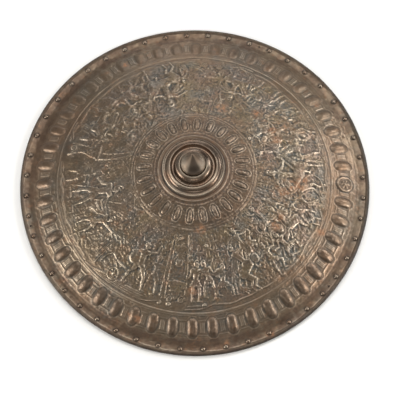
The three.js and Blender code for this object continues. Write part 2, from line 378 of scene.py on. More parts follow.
def rider(s, up, holds, arm):
    """The rider of a horse, drawn over it: up carries a point with the horse's body, arm is the two
    angles of the arm that is seen."""
    seat, chest, neck = up((-0.02, 0.90)), up((0.0, 1.30)), up((0.02, 1.42))
    for k in range(5):
        middle = up((-0.26 - 0.04 * k, 1.44 - 0.12 * k))
        end = up((-0.60 + 0.03 * k, 1.34 - 0.17 * k))
        s.path([chest, middle, end], 0.045, 0.040, 0.2 + 0.1 * (k % 2))
    s.blob(up((-0.04, 0.80)), 0.20, 0.17, 0, 1.5, 0.5)
    knee, ankle = up((0.20, 0.70)), up((0.10, 0.42))
    s.limb(seat, knee, 0.095, 0.068, 1.7)
    s.limb(knee, ankle, 0.062, 0.036, 1.7)
    s.limb(ankle, up((0.22, 0.38)), 0.036, 0.024, 1.7)
    s.limb(seat, chest, 0.105, 0.125, 1.2)
    s.limb((chest[0] - 0.10, chest[1] + 0.06), (chest[0] + 0.10, chest[1] + 0.06), 0.075, 0.075, 1.2)
    for k in range(4):
        start = (seat[0] - 0.09 + 0.055 * k, seat[1] + 0.05)
        s.limb(start, toward(start, (k - 1.5) * 14, 0.16), 0.028, 0.034, 2.0)
    head(s, neck, 1, True, 0.0, 1.55, 1.3)
    start = (chest[0] + 0.08, chest[1] + 0.06)
    elbow = toward(start, arm[0], 0.22)
    hand = toward(elbow, arm[1], 0.20)
    s.limb(start, elbow, 0.060, 0.044, 1.8)
    s.limb(elbow, hand, 0.044, 0.028, 1.9)
    s.blob(hand, 0.038, 0.036, 0, 2.0)
    if holds == "lance":
        s.limb(toward(hand, arm[1] - 40, -0.75), toward(hand, arm[1] - 40, 0.80), 0.020, 0.014, 2.0)
    if holds == "sword":
        s.limb(hand, toward(hand, arm[1] + 40, 0.40), 0.022, 0.012, 1.8)


def horse(t, r, size, gait, rise, holds, arm, mirror=False, level=0.8):
    """A horse and its rider, who holds a "lance", a "sword" or nothing special, "plain". rise turns the
    body up about its haunches; the hind feet of a rearing horse stay on the ground."""
    s = Stamp(t, r, size, 0, mirror, level, 1.9)
    w = math.radians(rise)

    def up(p):
        x, y = p[0] + 0.40, p[1] - 0.60
        return (x * math.cos(w) - y * math.sin(w) - 0.40, x * math.sin(w) + y * math.cos(w) + 0.60)

    for i, leg in enumerate(HORSE_LEGS[gait]):
        points = [p if (gait == "rear" and i > 1) else up(p) for p in leg]
        near = 0.5 if i % 2 else 0.0
        thick = FORELEG_RADII if i < 2 else HIND_LEG_RADII
        for j in range(3):
            s.limb(points[j], points[j + 1], thick[j], thick[j + 1], near)
        s.blob(points[2], 0.040, 0.040, 0, near)
        hoof = between(points[2], points[3], 1.22)
        s.limb(points[3], hoof, 0.034, 0.042, near)
    for k in range(3):
        hair = ((-0.58, 0.80), (-0.74 - 0.03 * k, 0.80 - 0.05 * k), (-0.92 + 0.03 * k, 0.56),
                (-0.90 + 0.09 * k, 0.24))
        s.path([up(p) for p in hair], 0.046, 0.024, 0.1 + 0.15 * k)
    s.limb(up((-0.34, 0.72)), up((0.22, 0.73)), 0.190, 0.170, 0.4, 0.8)
    s.blob(up((-0.40, 0.71)), 0.205, 0.200, 20, 0.5, 0.85)
    s.blob(up((0.32, 0.69)), 0.165, 0.195, 0, 0.5, 0.85)
    s.limb(up((0.34, 0.84)), up((0.60, 1.16)), 0.150, 0.085, 0.45)
    s.limb(up((0.61, 1.20)), up((0.84, 0.98)), 0.082, 0.045, 0.7)
    s.blob(up((0.66, 1.11)), 0.080, 0.070, 0, 0.9)
    s.blob(up((0.85, 0.97)), 0.052, 0.048, 0, 0.8)
    s.limb(up((0.56, 1.27)), up((0.60, 1.37)), 0.030, 0.012, 0.9)
    s.groove(up((0.70, 1.16)), up((0.73, 1.15)), 0.018, 1.0)
    s.groove(up((0.86, 0.95)), up((0.89, 0.96)), 0.014, 0.8)
    s.groove(up((0.22, 0.86)), up((0.18, 0.56)), 0.022, 0.7)
    s.groove(up((-0.22, 0.90)), up((-0.24, 0.62)), 0.022, 0.6)
    for k in range(8):
        root = up((0.24 + 0.042 * k, 0.93 + 0.048 * k))
        s.path([root, (root[0] - 0.07, root[1] - 0.01), (root[0] - 0.12, root[1] - 0.09)], 0.026, 0.016, 1.6)
    s.path([up((0.50, 0.98)), up((0.34, 0.80)), up((0.14, 0.92))], 0.014, 0.014, 2.6)
    rider(s, up, holds, arm)
    s.press()


# ---------------------------------------------------------------- things round the figures
def tree(t, r, size, seed):
    """A trunk, two boughs and a crown of leaves."""
    rng = np.random.default_rng(seed)
    s = Stamp(t, r, size, 0, False, 0.3, 1.5)
    s.path([(0, 0), (0.03, 0.3), (-0.03, 0.6), (0.02, 0.8)], 0.05, 0.03, 0.2)
    s.path([(0.02, 0.45), (0.16, 0.68)], 0.028, 0.018, 0.2)
    s.path([(-0.02, 0.5), (-0.17, 0.72)], 0.028, 0.018, 0.2)
    for _ in range(34):
        a, d = rng.uniform(0, 2 * math.pi), 0.30 * math.sqrt(rng.uniform(0, 1))
        c = (d * math.cos(a), 0.84 + 0.8 * d * math.sin(a))
        half_axes = rng.uniform(0.035, 0.06), rng.uniform(0.025, 0.045)
        s.blob(c, *half_axes, rng.uniform(0, 180), 0.3 + rng.uniform(0, 0.7))
    s.press(0.5)


def foliage(t0, t1, r0, r1, count, size, seed):
    """Leaves and stones that fill the ground between figures."""
    rng = np.random.default_rng(seed)
    for _ in range(count):
        s = Stamp(rng.uniform(t0, t1), rng.uniform(r0, r1), size, rng.uniform(-60, 60), False, 0.15, 1.3)
        for k in range(5):
            a = -70 + 35 * k + rng.uniform(-8, 8)
            s.limb((0, 0), toward((0, 0), 180 + a, rng.uniform(0.5, 0.9)), 0.06, 0.15, 0.1, 0.8)
        s.press(0.3, 1.0)


def building(t, r, width, height, storeys, bays, gable=False):
    """A house front with rows of windows, under a gable or a battlement."""
    s = Stamp(t, r, height, 0, False, 0.3, 1.6)
    w = 0.5 * width / height
    s.plate([(-w, 0), (w, 0), (w, 0.8), (-w, 0.8)], 0.9)
    if gable:
        s.plate([(-1.15 * w, 0.8), (1.15 * w, 0.8), (0, 1.15)], 1.5)
    else:
        for k in range(5):
            c = -w + 2 * w * (k + 0.5) / 5
            s.plate([(c - 0.12 * w, 0.8), (c + 0.12 * w, 0.8), (c + 0.12 * w, 0.9), (c - 0.12 * w, 0.9)], 0.9)
    for i in range(storeys + 1):
        v = 0.8 * i / storeys
        s.limb((-w, v), (w, v), 0.022, 0.022, 1.1)
    for i in range(storeys):
        for k in range(bays):
            c = -w + 2 * w * (k + 0.5) / bays
            v = 0.8 * (i + 0.28) / storeys
            s.groove((c, v), (c, v + 0.3 / storeys), 0.10 * w, 1.1)
    s.press(0.5)


def colonnade(t, r, width, height, posts):
    """A porch of slim posts under a gabled roof."""
    s = Stamp(t, r, height, 0, False, 0.4, 1.7)
    w = 0.5 * width / height
    for k in range(posts):
        c = -w + 2 * w * k / (posts - 1)
        s.limb((c, 0.0), (c, 0.78), 0.030, 0.026, 0.7)
        s.limb((c - 0.04, 0.02), (c + 0.04, 0.02), 0.026, 0.026, 0.7)
        s.limb((c - 0.04, 0.78), (c + 0.04, 0.78), 0.024, 0.024, 0.7)
    s.limb((-1.1 * w, 0.85), (1.1 * w, 0.85), 0.034, 0.034, 1.0)
    s.limb((-1.2 * w, 0.89), (0, 1.14), 0.032, 0.032, 1.1)
    s.limb((0, 1.14), (1.2 * w, 0.89), 0.032, 0.032, 1.1)
    s.limb((-1.2 * w, -0.04), (1.2 * w, -0.04), 0.034, 0.034, 0.8)
    s.press(0.5)


def wheel(t, r, radius):
    """A wheel with eight spokes."""
    s = Stamp(t, r, radius, 0, False, 0.8, 1.5)
    turns = np.linspace(0, 2 * math.pi, 17)
    s.path([(0.9 * math.cos(a), 0.9 * math.sin(a)) for a in turns], 0.13, 0.13, 0.6)
    for a in turns[::2]:
        s.limb((0, 0), (0.8 * math.cos(a), 0.8 * math.sin(a)), 0.06, 0.05, 0.3)
    s.blob((0, 0), 0.26, 0.26, 0, 0.9)
    s.press(0.6)


def banner(t, r, size, tilt):
    """A flag on a pole, with folds."""
    s = Stamp(t, r, size, tilt, False, 0.4, 1.5)
    s.limb((0, 0), (0, 1.15), 0.020, 0.016, 0.9)
    s.blob((0, 1.2), 0.03, 0.06, 0, 0.9)
    for k in range(4):
        v = 1.08 - 0.13 * k
        s.path([(0, v), (0.22, v + 0.05), (0.42, v - 0.05), (0.62, v + 0.02 - 0.03 * k)], 0.075, 0.055, 0.4)
    s.press(0.5)


def fallen(t, r, size, tilt):
    """A figure lying on the ground."""
    person(t, r, size, ((-30, 20), (35, -30)), ((-100, -130), (70, 20)), tilt=tilt, level=0.4)


def curve_through(points, steps):
    """A smooth polar curve through a few (t, r) points, as plan points."""
    ends = [points[0]] + list(points) + [points[-1]]
    out = []
    for p0, p1, p2, p3 in zip(ends, ends[1:], ends[2:], ends[3:]):
        p0, p1, p2, p3 = (np.array(p, float) for p in (p0, p1, p2, p3))
        for k in range(steps):
            x = k / steps
            bend, twist = 2 * p0 - 5 * p1 + 4 * p2 - p3, 3 * p1 - p0 - 3 * p2 + p3
            out.append(polar(*(0.5 * (2 * p1 + (p2 - p0) * x + bend * x * x + twist * x ** 3))))
    out.append(polar(*points[-1]))
    return out


def raised_line(points, half_width, height, moat):
    """A round raised line through plan points, in millimetres, with the ground cut back beside it."""
    line = np.array(points)
    middle = 0.5 * (line.min(0) + line.max(0))
    reach = 0.5 * max(np.ptp(line[:, 0]), np.ptp(line[:, 1])) + 6
    place, x, y = window(middle, reach)
    away2 = np.full_like(x, 1e6)
    for a, b in zip(line, line[1:]):
        away2 = np.minimum(away2, from_line(x, y, a, b)[0])
    away = np.sqrt(away2)
    crest = height * np.sqrt(np.maximum(1 - away2 / half_width ** 2, 0))
    cut = 1 - moat * np.exp(-(np.maximum(away - half_width, 0) / 1.4) ** 2)
    relief[place] = np.maximum(relief[place] * cut, crest)


def strap(points, half_width, height, moat=0.9, steps=14):
    """A round raised line through a few (t, r) points."""
    raised_line(curve_through(points, steps), half_width, height, moat)


def volute(t, r, radius, turns, start, hand, half_width=1.1, height=1.7):
    """A raised line that winds inward, from an angle start, to the left or the right by hand."""
    c = polar(t, r)
    a = np.linspace(0, turns * 2 * math.pi, int(turns * 22))
    grow = radius * (1 - a / a[-1] * 0.86)
    angle = math.radians(t + start) + hand * a
    winding = np.stack([c[0] + grow * np.cos(angle), c[1] + grow * np.sin(angle)], 1)
    raised_line(winding, half_width, height, 0.7)


def fruit(t, r, size, seed):
    """A hanging bunch of round fruit and leaves."""
    rng = np.random.default_rng(seed)
    s = Stamp(t, r, size, 0, False, 0.4, 1.2)
    for k in range(4):
        s.limb((0, 0.5), toward((0, 0.5), -75 + 50 * k, 0.45), 0.06, 0.13, 0.2)
    for row, n in enumerate((3, 4, 3, 2, 1)):
        for k in range(n):
            c = ((k - (n - 1) / 2) * 0.21 + rng.uniform(-0.02, 0.02), 0.42 - 0.19 * row)
            s.blob(c, 0.115, 0.115, 0, 0.6)
    s.press(0.6)


def mask(t, r, size):
    """A small plain ornamental face, the same on both sides."""
    s = Stamp(t, r, size, 0, False, 0.5, 1.2)
    s.blob((0, 0.5), 0.30, 0.40, 0, 0.3)
    for side in (-1, 1):
        s.limb((side * 0.05, 0.60), (side * 0.19, 0.60), 0.035, 0.03, 1.9)
        s.groove((side * 0.09, 0.53), (side * 0.15, 0.53), 0.045, 1.0)
        s.blob((side * 0.16, 0.36), 0.08, 0.08, 0, 1.5)
        s.path([(side * 0.10, 0.88), (side * 0.34, 0.80), (side * 0.38, 0.52)], 0.10, 0.06, 0.5)
    s.limb((0, 0.58), (0, 0.40), 0.035, 0.06, 2.1)
    s.groove((-0.08, 0.28), (0.08, 0.28), 0.03, 0.9)
    s.press(0.6)


def ground_line(t0, t1, r, rise, seed):
    """An uneven line of ground under a row of figures."""
    rng = np.random.default_rng(seed)
    count = max(int(abs(t1 - t0) / 4), 3)
    points = [(t, r + rng.uniform(-rise, rise)) for t in np.linspace(t0, t1, count)]
    strap(points, 1.3, 1.3, 0.5, 8)


# ---------------------------------------------------------------- rows of ornament
# Radius in millimetres and angle in degrees of every point of the grid
GRID_X, GRID_Y = np.meshgrid(AXIS, AXIS)
R = np.hypot(GRID_X, GRID_Y)
T = np.degrees(np.arctan2(GRID_X, -GRID_Y)) % 360


def sector(middle, half_width):
    """1 at an angle round the shield, falling smoothly to 0 on both sides of it."""
    away = (T - middle + 180) % 360 - 180
    return np.exp(-(away / half_width) ** 2)


IN_FIELD = (R > FIELD_INNER) & (R < FIELD_OUTER)
RUBBED = sector(208, 44)     # the part rubbed softest
CALM = sector(256, 58)       # the side where the relief is low
SOFT_RIGHT = sector(96, 40)  # where the scenes are rounder
RIGHT, LEFT, FOOT, LOWER_LEFT = sector(90, 45), sector(270, 45), sector(350, 55), sector(305, 38)

# Ovals: half width, half length, height. Wires: half width and half length of the outline, half
# thickness, height. Reeds: half thickness, half length, height. All in millimetres.
OUTER_OVAL, INNER_OVAL = (8.5, 14.6, 4.4), (4.2, 10.8, 2.8)
OUTER_WIRE, INNER_WIRE = (10.2, 16.6, 0.8, 0.85), (5.9, 12.6, 0.9, 1.5)
OUTER_REED, INNER_REED = (0.85, 6.8, 1.2), (0.9, 6.0, 0.5)
OUTER_REED_PLACES, INNER_REED_PLACES = (-2.7, 0, 2.7), (0,)
OUTER_BAND = 10.8            # the wire is cut flat this far in and out from the row's middle
OVAL_SHOULDER, OVAL_TOP = 2.1, 0.72
ROUNDEL_RADIUS = 15.5

# Plain rings and grooves all round: radius, half width, height or depth
RINGS = ((226.9, 1.2, 0.9), (229.9, 1.2, 0.8), (228.4, 2.6, 0.4), (101.5, 1.1, 0.4), (97.4, 0.8, 0.5),
         (63.8, 1.1, 0.45), (57.0, 1.1, 1.2), (270.4, 1.9, 0.15), (265.3, 0.7, 0.25))
GROOVES = ((52.5, 1.3, 1.3), (267.7, 0.9, 0.15), (104.4, 0.8, 0.35), (224.6, 0.8, 0.35), (60.9, 0.8, 0.4),
           (99.0, 0.7, 0.3))


def ridge(distance, half_width, height):
    """A round bar along the line where the distance is 0."""
    return height * np.sqrt(np.maximum(1 - (distance / half_width) ** 2, 0))


def valley(distance, half_width, depth):
    """A soft groove along the line where the distance is 0."""
    return -depth * np.exp(-(distance / half_width) ** 2)


def row_place(row, shift=0.0):
    """Distance aside and outward from the nearest member of a row, and that member's index."""
    count, first, radius = row
    turns = (T - first) / (360 / count) + 0.5 + shift
    aside = np.radians((turns % 1 - 0.5) * (360 / count)) * R
    return aside, R - radius, np.floor(turns).astype(int) % count


def boxy(x, y):
    """Distance in which the unit curve is a blunt oval, between an ellipse and a box."""
    return (np.abs(x) ** 2.7 + np.abs(y) ** 2.7) ** (1 / 2.7)


def oval_row(row, oval, wire, band, reed, reed_places, seed, worn):
    """Smooth ovals, a scalloped wire round them, and short reeds between them. worn is how much
    lower the row is at the top than at the foot, from 0 to 1."""
    rng = np.random.default_rng(seed)
    aside, out, index = row_place(row)
    aside = aside + rng.normal(0, 0.16, row[0])[index]
    size = 1 + rng.normal(0, 0.015, row[0])[index]
    half_width, half_length, height = oval
    q = boxy(aside / half_width, out / half_length) / size
    wear = (1 - 0.35 * worn * (0.5 - 0.5 * np.cos(np.radians(T)))) * (1 - 0.6 * worn * RUBBED)
    dome = height * wear * np.maximum(1 - q ** OVAL_SHOULDER, 0) ** OVAL_TOP
    length = np.hypot(aside, out)
    wire_width, wire_length, wire_thickness, wire_height = wire
    outline = length - length / np.maximum(boxy(aside / wire_width, out / wire_length), 1e-3)
    if band:
        outline = np.minimum(outline, np.abs(out) - band)
    height_map = dome + wear * ridge(outline, wire_thickness, wire_height) * (q > 1)
    height_map += wear * valley(np.maximum(q - 1, 0) * half_width, 1.2, 0.45) * (q > 1)
    between_aside, between_out, _ = row_place(row, 0.5)
    reed_thickness, reed_length, reed_height = reed
    for place in reed_places:
        end = np.maximum(np.abs(between_out) - reed_length, 0)
        reed_map = ridge(np.hypot(between_aside - place, end), reed_thickness, reed_height)
        height_map = np.maximum(height_map, reed_map)
    return height_map


def oval_mask(row, half_width, half_length, shift=0.0):
    """1 on the ovals of a row, or half way between them with a shift of a half."""
    aside, out, _ = row_place(row, shift)
    return smooth_step(-boxy(aside / half_width, out / half_length), -1.05, -0.85)


def roundel():
    """The one disc in the outer row: a ring round a small rosette. Also the distance from its middle."""
    count, first, radius = OUTER_ROW
    centre = polar(first + ROUNDEL_INDEX * 360 / count, radius)
    x, y = GRID_X - centre[0], GRID_Y - centre[1]
    away, turn = np.hypot(x, y), np.arctan2(y, x)
    petals = 0.7 + 0.3 * np.cos(6 * turn)
    rosette = ridge(away, 8.2 * petals + 0.8, 1.5)
    button = ridge(away, 2.6, 1.3) + rosette
    disc = 1.1 * smooth_step(-away, -13.6, -12.6)
    return disc + ridge(away - 12.0, 1.6, 1.3) + np.where(away < 9, button, 0), away


def ring_ornament():
    """Beads, rows of ovals and plain rings, all round the plate."""
    outer = oval_row(OUTER_ROW, OUTER_OVAL, OUTER_WIRE, OUTER_BAND, OUTER_REED, OUTER_REED_PLACES, 11, 0.9)
    disc, away = roundel()
    outer = np.where(away < ROUNDEL_RADIUS, disc, outer)
    inner = oval_row(INNER_ROW, INNER_OVAL, INNER_WIRE, None, INNER_REED, INNER_REED_PLACES, 12, 0.1)
    rings = np.where(R > 229, outer, np.where((R > 62) & (R < 99.5), inner, 0))
    rubbed = (0.6 * np.maximum(CALM, RUBBED) + 0.45 * sector(48, 34)) * (R > FIELD_INNER)
    for radius, half_width, height in RINGS:
        rings = np.maximum(rings, ridge(R - radius, half_width, height * (1 - rubbed)))
    for radius, half_width, depth in GROOVES:
        rings += valley(R - radius, half_width, depth)
    aside, out, _ = row_place(RIVET_ROW)
    rings += valley(np.hypot(aside, out) - 4.3, 0.8, 0.22)
    return rings


# ---------------------------------------------------------------- the four scenes
# Stances: angles of the thigh and the shin of each leg, from straight down
WALK = ((-22, -10), (20, 2))
STRIDE = ((-34, -14), (30, 8))
STAND = ((-8, -4), (9, 3))
KNEEL = ((-30, 60), (75, -12))
LUNGE = ((-46, -30), (52, 2))


def dividers():
    """The ornament that parts the field into four scenes."""
    for t in (341.2, 343.4):
        strap([(t, 113), (t, 160), (t, 206)], 0.9, 1.5)
    fruit(348.0, 196, 30, 1)
    mask(347.8, 162, 20)
    fruit(347.6, 138, 22, 2)
    volute(345.4, 208, 6.0, 1.5, 180, -1)
    volute(350.8, 208, 6.0, 1.5, 0, 1)
    volute(346.0, 116, 5.0, 1.4, 0, 1)
    strap([(352.6, 110), (353.2, 150), (352.4, 200)], 0.9, 1.4)

    for t in (72.6, 77.4):
        strap([(t, 106), (t, 128), (t, 150)], 0.8, 1.5)
    for k in range(9):
        s = Stamp(75.0, 150 - 5 * k, 10, 0, False, 0.4)
        s.blob((0, 0), 0.22, 0.22)
        s.press(0.5)
    strap([(74.5, 152), (76, 165), (83, 176), (88, 190), (86, 206), (80, 214)], 1.4, 2.0)
    strap([(71.5, 152), (72, 168), (78, 184), (80, 200), (76, 212)], 1.1, 1.6)
    volute(79.0, 212, 6.0, 1.5, 90, 1)

    strap([(164.8, 106), (164.6, 135), (164.4, 166)], 1.0, 1.5)
    strap([(161.8, 106), (161.8, 150), (162.2, 205)], 0.9, 1.3)
    fruit(168.6, 196, 30, 3)
    mask(168.4, 164, 20)
    fruit(168.2, 140, 22, 4)
    volute(165.2, 210, 6.0, 1.5, 180, -1)
    volute(171.6, 210, 5.5, 1.5, 0, 1)

    strap([(250.6, 105), (254.6, 130), (255.6, 160), (252.0, 190), (253.5, 214)], 1.4, 1.9)
    strap([(247.4, 107), (250.6, 130), (251.6, 158), (248.4, 184), (247.6, 212)], 1.0, 1.5)
    volute(250.2, 208, 6.0, 1.5, 0, 1)
    fruit(251.5, 172, 26, 5)

    for middle in (30, 120, 210, 300):
        arch = ((-8, 105), (-5, 107.5), (-2.5, 111), (0, 112.5), (2.5, 111), (5, 107.5), (8, 105))
        strap([(middle + d, r) for d, r in arch], 1.1, 1.6)
    for start, end in ((330.0, 341.0), (353, 366), (64, 71), (90, 98), (150, 160), (174, 184), (238, 246),
                       (257, 266)):
        strap([(start, 221.5), ((start + end) / 2, 220.5), (end, 214)], 1.0, 1.4)


def scene_d():
    """The lower left: a tall man, a soldier, a cart under a ledge and a man with a round shield."""
    foliage(257, 340, 112, 218, 110, 7, 41)
    crowd(257, 272, 118, 150, 9, 18, 42)
    crowd(285, 340, 116, 134, 14, 18, 43)
    building(311, 156, 24, 30, 2, 3)
    tree(262, 190, 56, 44)
    tree(335, 176, 50, 45)
    ground_line(257, 302, 218, 2.0, 4)
    for t, r, seed in ((322, 163, 2), (263, 178, 3)):
        ground_line(t - 5.5, t + 5.5, r, 1.6, seed)
    for t in (304.9, 306.4):
        strap([(t, 176), (t, 203)], 0.9, 1.6)
    person(304.0, 161, 38, WALK, ((-60, -110), (60, 120)), cape=-1, level=0.4)
    person(310.5, 161, 38, STAND, ((-30, -40), (80, 140)), holds="spear", level=0.4)
    person(318.5, 162, 38, WALK, ((-70, -120), (40, 80)), facing=-1, level=0.4)
    person(264.0, 214, 58, WALK, ((-60, -40), (60, 100)), holds="spear", level=0.45)
    person(336.0, 210, 60, WALK, ((-40, -70), (80, 150)), facing=-1, holds="spear", level=0.45)
    fallen(300.5, 214, 44, 80)
    strap([(303, 163.5), (306.5, 163), (308.3, 166), (310.3, 163), (312.5, 167.5)], 1.2, 1.9)
    strap([(281.5, 176), (286, 154), (294, 128)], 9.5, 1.1, 0.9, 8)
    strap([(279.6, 170), (283.5, 150), (291, 126)], 1.0, 1.7, 0.4, 8)
    for k in range(4):
        plank = ((304.5 + k, 224.5 - 0.4 * k), (314, 222.6 - 2.3 * k), (324, 221.0 - 3.0 * k),
                 (332 + k, 221.4 - 3.1 * k))
        strap(plank, 1.1, 1.7, 0.6)
    strap([(307.6, 213), (307.4, 203), (307.6, 193)], 1.5, 2.2)
    strap([(309.2, 203), (309.6, 192), (312, 183.5), (315.4, 187.5), (321.4, 190.5)], 1.7, 2.3)
    strap([(315.3, 190), (319.6, 203)], 1.1, 1.7)
    wheel(317.5, 207.5, 10.5)
    person(276.0, 206, 86, ((-17, -10), (15, 5)), ((-28, -64), (44, 96)), lean=12, level=1.15)
    person(291.5, 211, 66, ((-30, -12), (10, -14)), ((-50, -80), (100, 104)), lean=33, level=1.15, cape=-1)
    person(327.0, 211, 76, ((-30, -10), (34, 14)), ((-70, 40), (120, 175)), lean=-8, helmet=False,
           skirt=False, shield=0, level=1.2)


def scene_a():
    """The foot of the shield: ranks of soldiers, a tent and a fight on horseback."""
    foliage(354, 431, 112, 218, 100, 7, 51)
    crowd(354, 372, 118, 144, 12, 18, 52)
    crowd(386, 430, 114, 146, 24, 18, 53)
    crowd(372, 428, 158, 176, 18, 19, 55)
    banner(394, 168, 48, 4)
    tree(400, 150, 38, 54)
    s = Stamp(382.5, 141, 28, 0, False, 0.6)
    s.plate([(-0.50, 0), (0.50, 0), (0.02, 1.0)], 1.0)
    for k in range(-2, 3):
        s.limb((0.19 * k, 0.02), (0.02, 0.98), 0.035, 0.02, 0.9)
    s.press()
    wheel(383.8, 150, 6.5)
    for k, (t, r) in enumerate(((354.6, 170), (360.0, 172), (366.0, 168), (371.5, 174), (377.5, 176))):
        person(t, r, 44, WALK, ((-40, -80), (60, 120)), facing=-1 if k % 2 else 1,
               holds="spear" if k % 2 else None, level=0.5)
    ground_line(354, 400, 217, 2.2, 6)
    ground_line(400, 428, 215, 2.2, 7)
    for t in (341.5, 345.5, 361):
        s = Stamp(t, 217, 10, 0, False, 0.8)
        s.blob((0, 0.1), 0.36, 0.36)
        s.press(0.6)
    person(357.5, 212, 62, ((-10, -6), (14, -8)), ((-25, -50), (50, 120)), holds="spear", lean=6, level=0.85)
    person(364.6, 206, 58, ((-30, -4), (12, 30)), ((-70, -130), (35, 75)), shield=1, lean=-16, level=0.95,
           skirt=False)
    person(371.0, 211, 56, LUNGE, ((-80, -120), (90, 130)), facing=-1, cape=1, lean=14, level=0.8,
           holds="sword")
    person(377.5, 212, 52, STAND, ((-60, -90), (50, 110)), level=0.7, holds="spear")
    horse(390.0, 176, 34, "gallop", 8, "lance", (70, 95), level=0.9)
    horse(411.0, 168, 33, "gallop", 4, "sword", (110, 150), mirror=True, level=0.85)
    horse(388.5, 214, 43, "rear", 28, "sword", (110, 160), level=0.9)
    person(398.5, 219, 58, ((-6, -2), (48, -24)), ((-70, -130), (80, 150)), level=1.15, shield=0)
    horse(417.5, 213, 44, "gallop", 10, "sword", (100, 150), mirror=True, level=0.95)
    strap([(408.2, 207), (411.5, 196), (415.4, 183)], 1.9, 2.6)
    person(408.5, 212, 56, KNEEL, ((-40, -100), (90, 130)), level=1.1, holds="sword")
    person(427.0, 209, 54, STRIDE, ((-80, -110), (70, 130)), facing=-1, level=1.0, holds="spear")
    person(402.0, 166, 42, LUNGE, ((-60, -120), (90, 140)), level=0.9, holds="sword")
    person(424.0, 160, 40, WALK, ((-60, -90), (60, 110)), level=0.9, shield=1)


def scene_b():
    """The right: horsemen before a porch, trees and tall lances."""
    foliage(79, 161, 112, 218, 110, 7, 61)
    crowd(66, 84, 112, 146, 10, 18, 66)
    crowd(84, 104, 114, 140, 12, 18, 62)
    crowd(104, 134, 112, 136, 14, 18, 63)
    building(138, 130, 22, 22, 1, 3, gable=True)
    colonnade(139.0, 192, 46, 46, 5)
    tree(126.0, 168, 50, 64)
    tree(154.5, 170, 54, 65)
    for t0, r0, t1, r1 in ((100, 180, 105, 128), (104.5, 182, 110.5, 130), (109, 180, 115.5, 134)):
        strap([(t0, r0), ((t0 + t1) / 2, (r0 + r1) / 2), (t1, r1)], 0.7, 1.3)
    ground_line(92, 124, 172, 2.2, 8)
    ground_line(82, 160, 217, 2.2, 9)
    horse(104.0, 166, 32, "gallop", 4, "lance", (70, 100), level=0.7)
    horse(119.0, 160, 31, "walk", 0, "plain", (60, 110), mirror=True, level=0.8)
    person(97.5, 214, 52, WALK, ((-60, -100), (80, 130)), level=0.8, shield=1)
    horse(106.0, 214, 43, "rear", 20, "sword", (110, 150), mirror=True, level=0.8)
    horse(117.5, 213, 42, "gallop", 8, "lance", (80, 110), level=0.9)
    person(127.5, 213, 56, WALK, ((-40, -80), (60, 120)), level=0.7, holds="spear", facing=-1)
    person(133.5, 214, 46, STAND, ((-30, -60), (50, 100)), level=0.7, cape=1)
    person(145.5, 214, 50, WALK, ((-70, -110), (40, 80)), level=0.6, shield=0)
    horse(153.5, 214, 40, "walk", 0, "plain", (60, 100), mirror=True, level=0.7)
    person(148.0, 158, 36, WALK, ((-50, -90), (60, 120)), level=0.5)
    person(157.5, 158, 36, STRIDE, ((-60, -90), (80, 130)), level=0.5, holds="sword", facing=-1)
    horse(87.0, 214, 54, "walk", 4, "plain", (60, 90), level=0.98)
    fallen(111.5, 216, 40, 82)


def scene_c():
    """The top: a town with a ramp, a large horse and a crowd among rocks."""
    foliage(170, 247, 112, 218, 130, 7, 71)
    crowd(184, 246, 114, 140, 20, 18, 72)
    crowd(204, 246, 146, 160, 14, 18, 76)
    volute(175.6, 112.5, 6.0, 1.8, 0, 1, 1.3, 2.3)
    volute(170.5, 110.0, 4.0, 1.4, 0, -1, 0.9, 1.5)
    building(173.6, 190, 20, 40, 3, 2)
    building(179.6, 184, 18, 34, 2, 2, gable=True)
    building(177.0, 150, 28, 22, 1, 4)
    for k in range(3):
        strap([(169 + k, 196 - 3 * k), (172.5 + k, 205 - 3 * k), (177 + k, 213 - 4 * k)],
              1.2, 1.7)
    tree(206.0, 162, 46, 73)
    tree(224.0, 156, 40, 74)
    tree(241.0, 170, 54, 75)
    ground_line(204, 247, 176, 2.8, 10)
    ground_line(176, 247, 218, 2.2, 11)
    horse(212.0, 174, 31, "walk", 0, "plain", (60, 110), level=0.6)
    horse(232.0, 172, 32, "gallop", 6, "sword", (100, 150), mirror=True, level=0.6)
    person(221.0, 174, 42, WALK, ((-60, -110), (60, 120)), level=0.5)
    person(205.5, 212, 56, STRIDE, ((-60, -110), (70, 120)), level=0.7, holds="spear", facing=-1)
    horse(216.0, 216, 40, "gallop", 6, "lance", (80, 110), mirror=True, level=0.75)
    person(225.5, 213, 52, KNEEL, ((-50, -100), (70, 130)), level=0.7)
    horse(234.0, 214, 40, "walk", 0, "plain", (60, 100), level=0.6)
    person(243.0, 210, 54, WALK, ((-50, -90), (60, 120)), level=0.6, shield=0)
    person(182.5, 214, 44, STAND, ((-40, -90), (40, 90)), level=0.7)
    horse(194.0, 216, 53, "walk", 3, "plain", (50, 90), level=0.95)


# Rust patches: angle, radius, size
RUST_PATCHES = ((3, 101, 7), (356, 193, 6), (80, 160, 9), (81, 172, 10), (84, 182, 6), (111, 148, 8),
                (117, 150, 7), (116, 172, 6), (53, 158, 7), (58, 158, 7), (74, 150, 7), (133, 148, 7),
                (155, 122, 8), (22, 283, 6), (205, 246, 4), (121, 248, 4), (331, 250, 4), (63, 225, 6),
                (335, 250, 5), (7, 274, 5))
FULL_HEIGHT = 2.3        # mm; the higher the scenes stand above this, the more they are pressed down


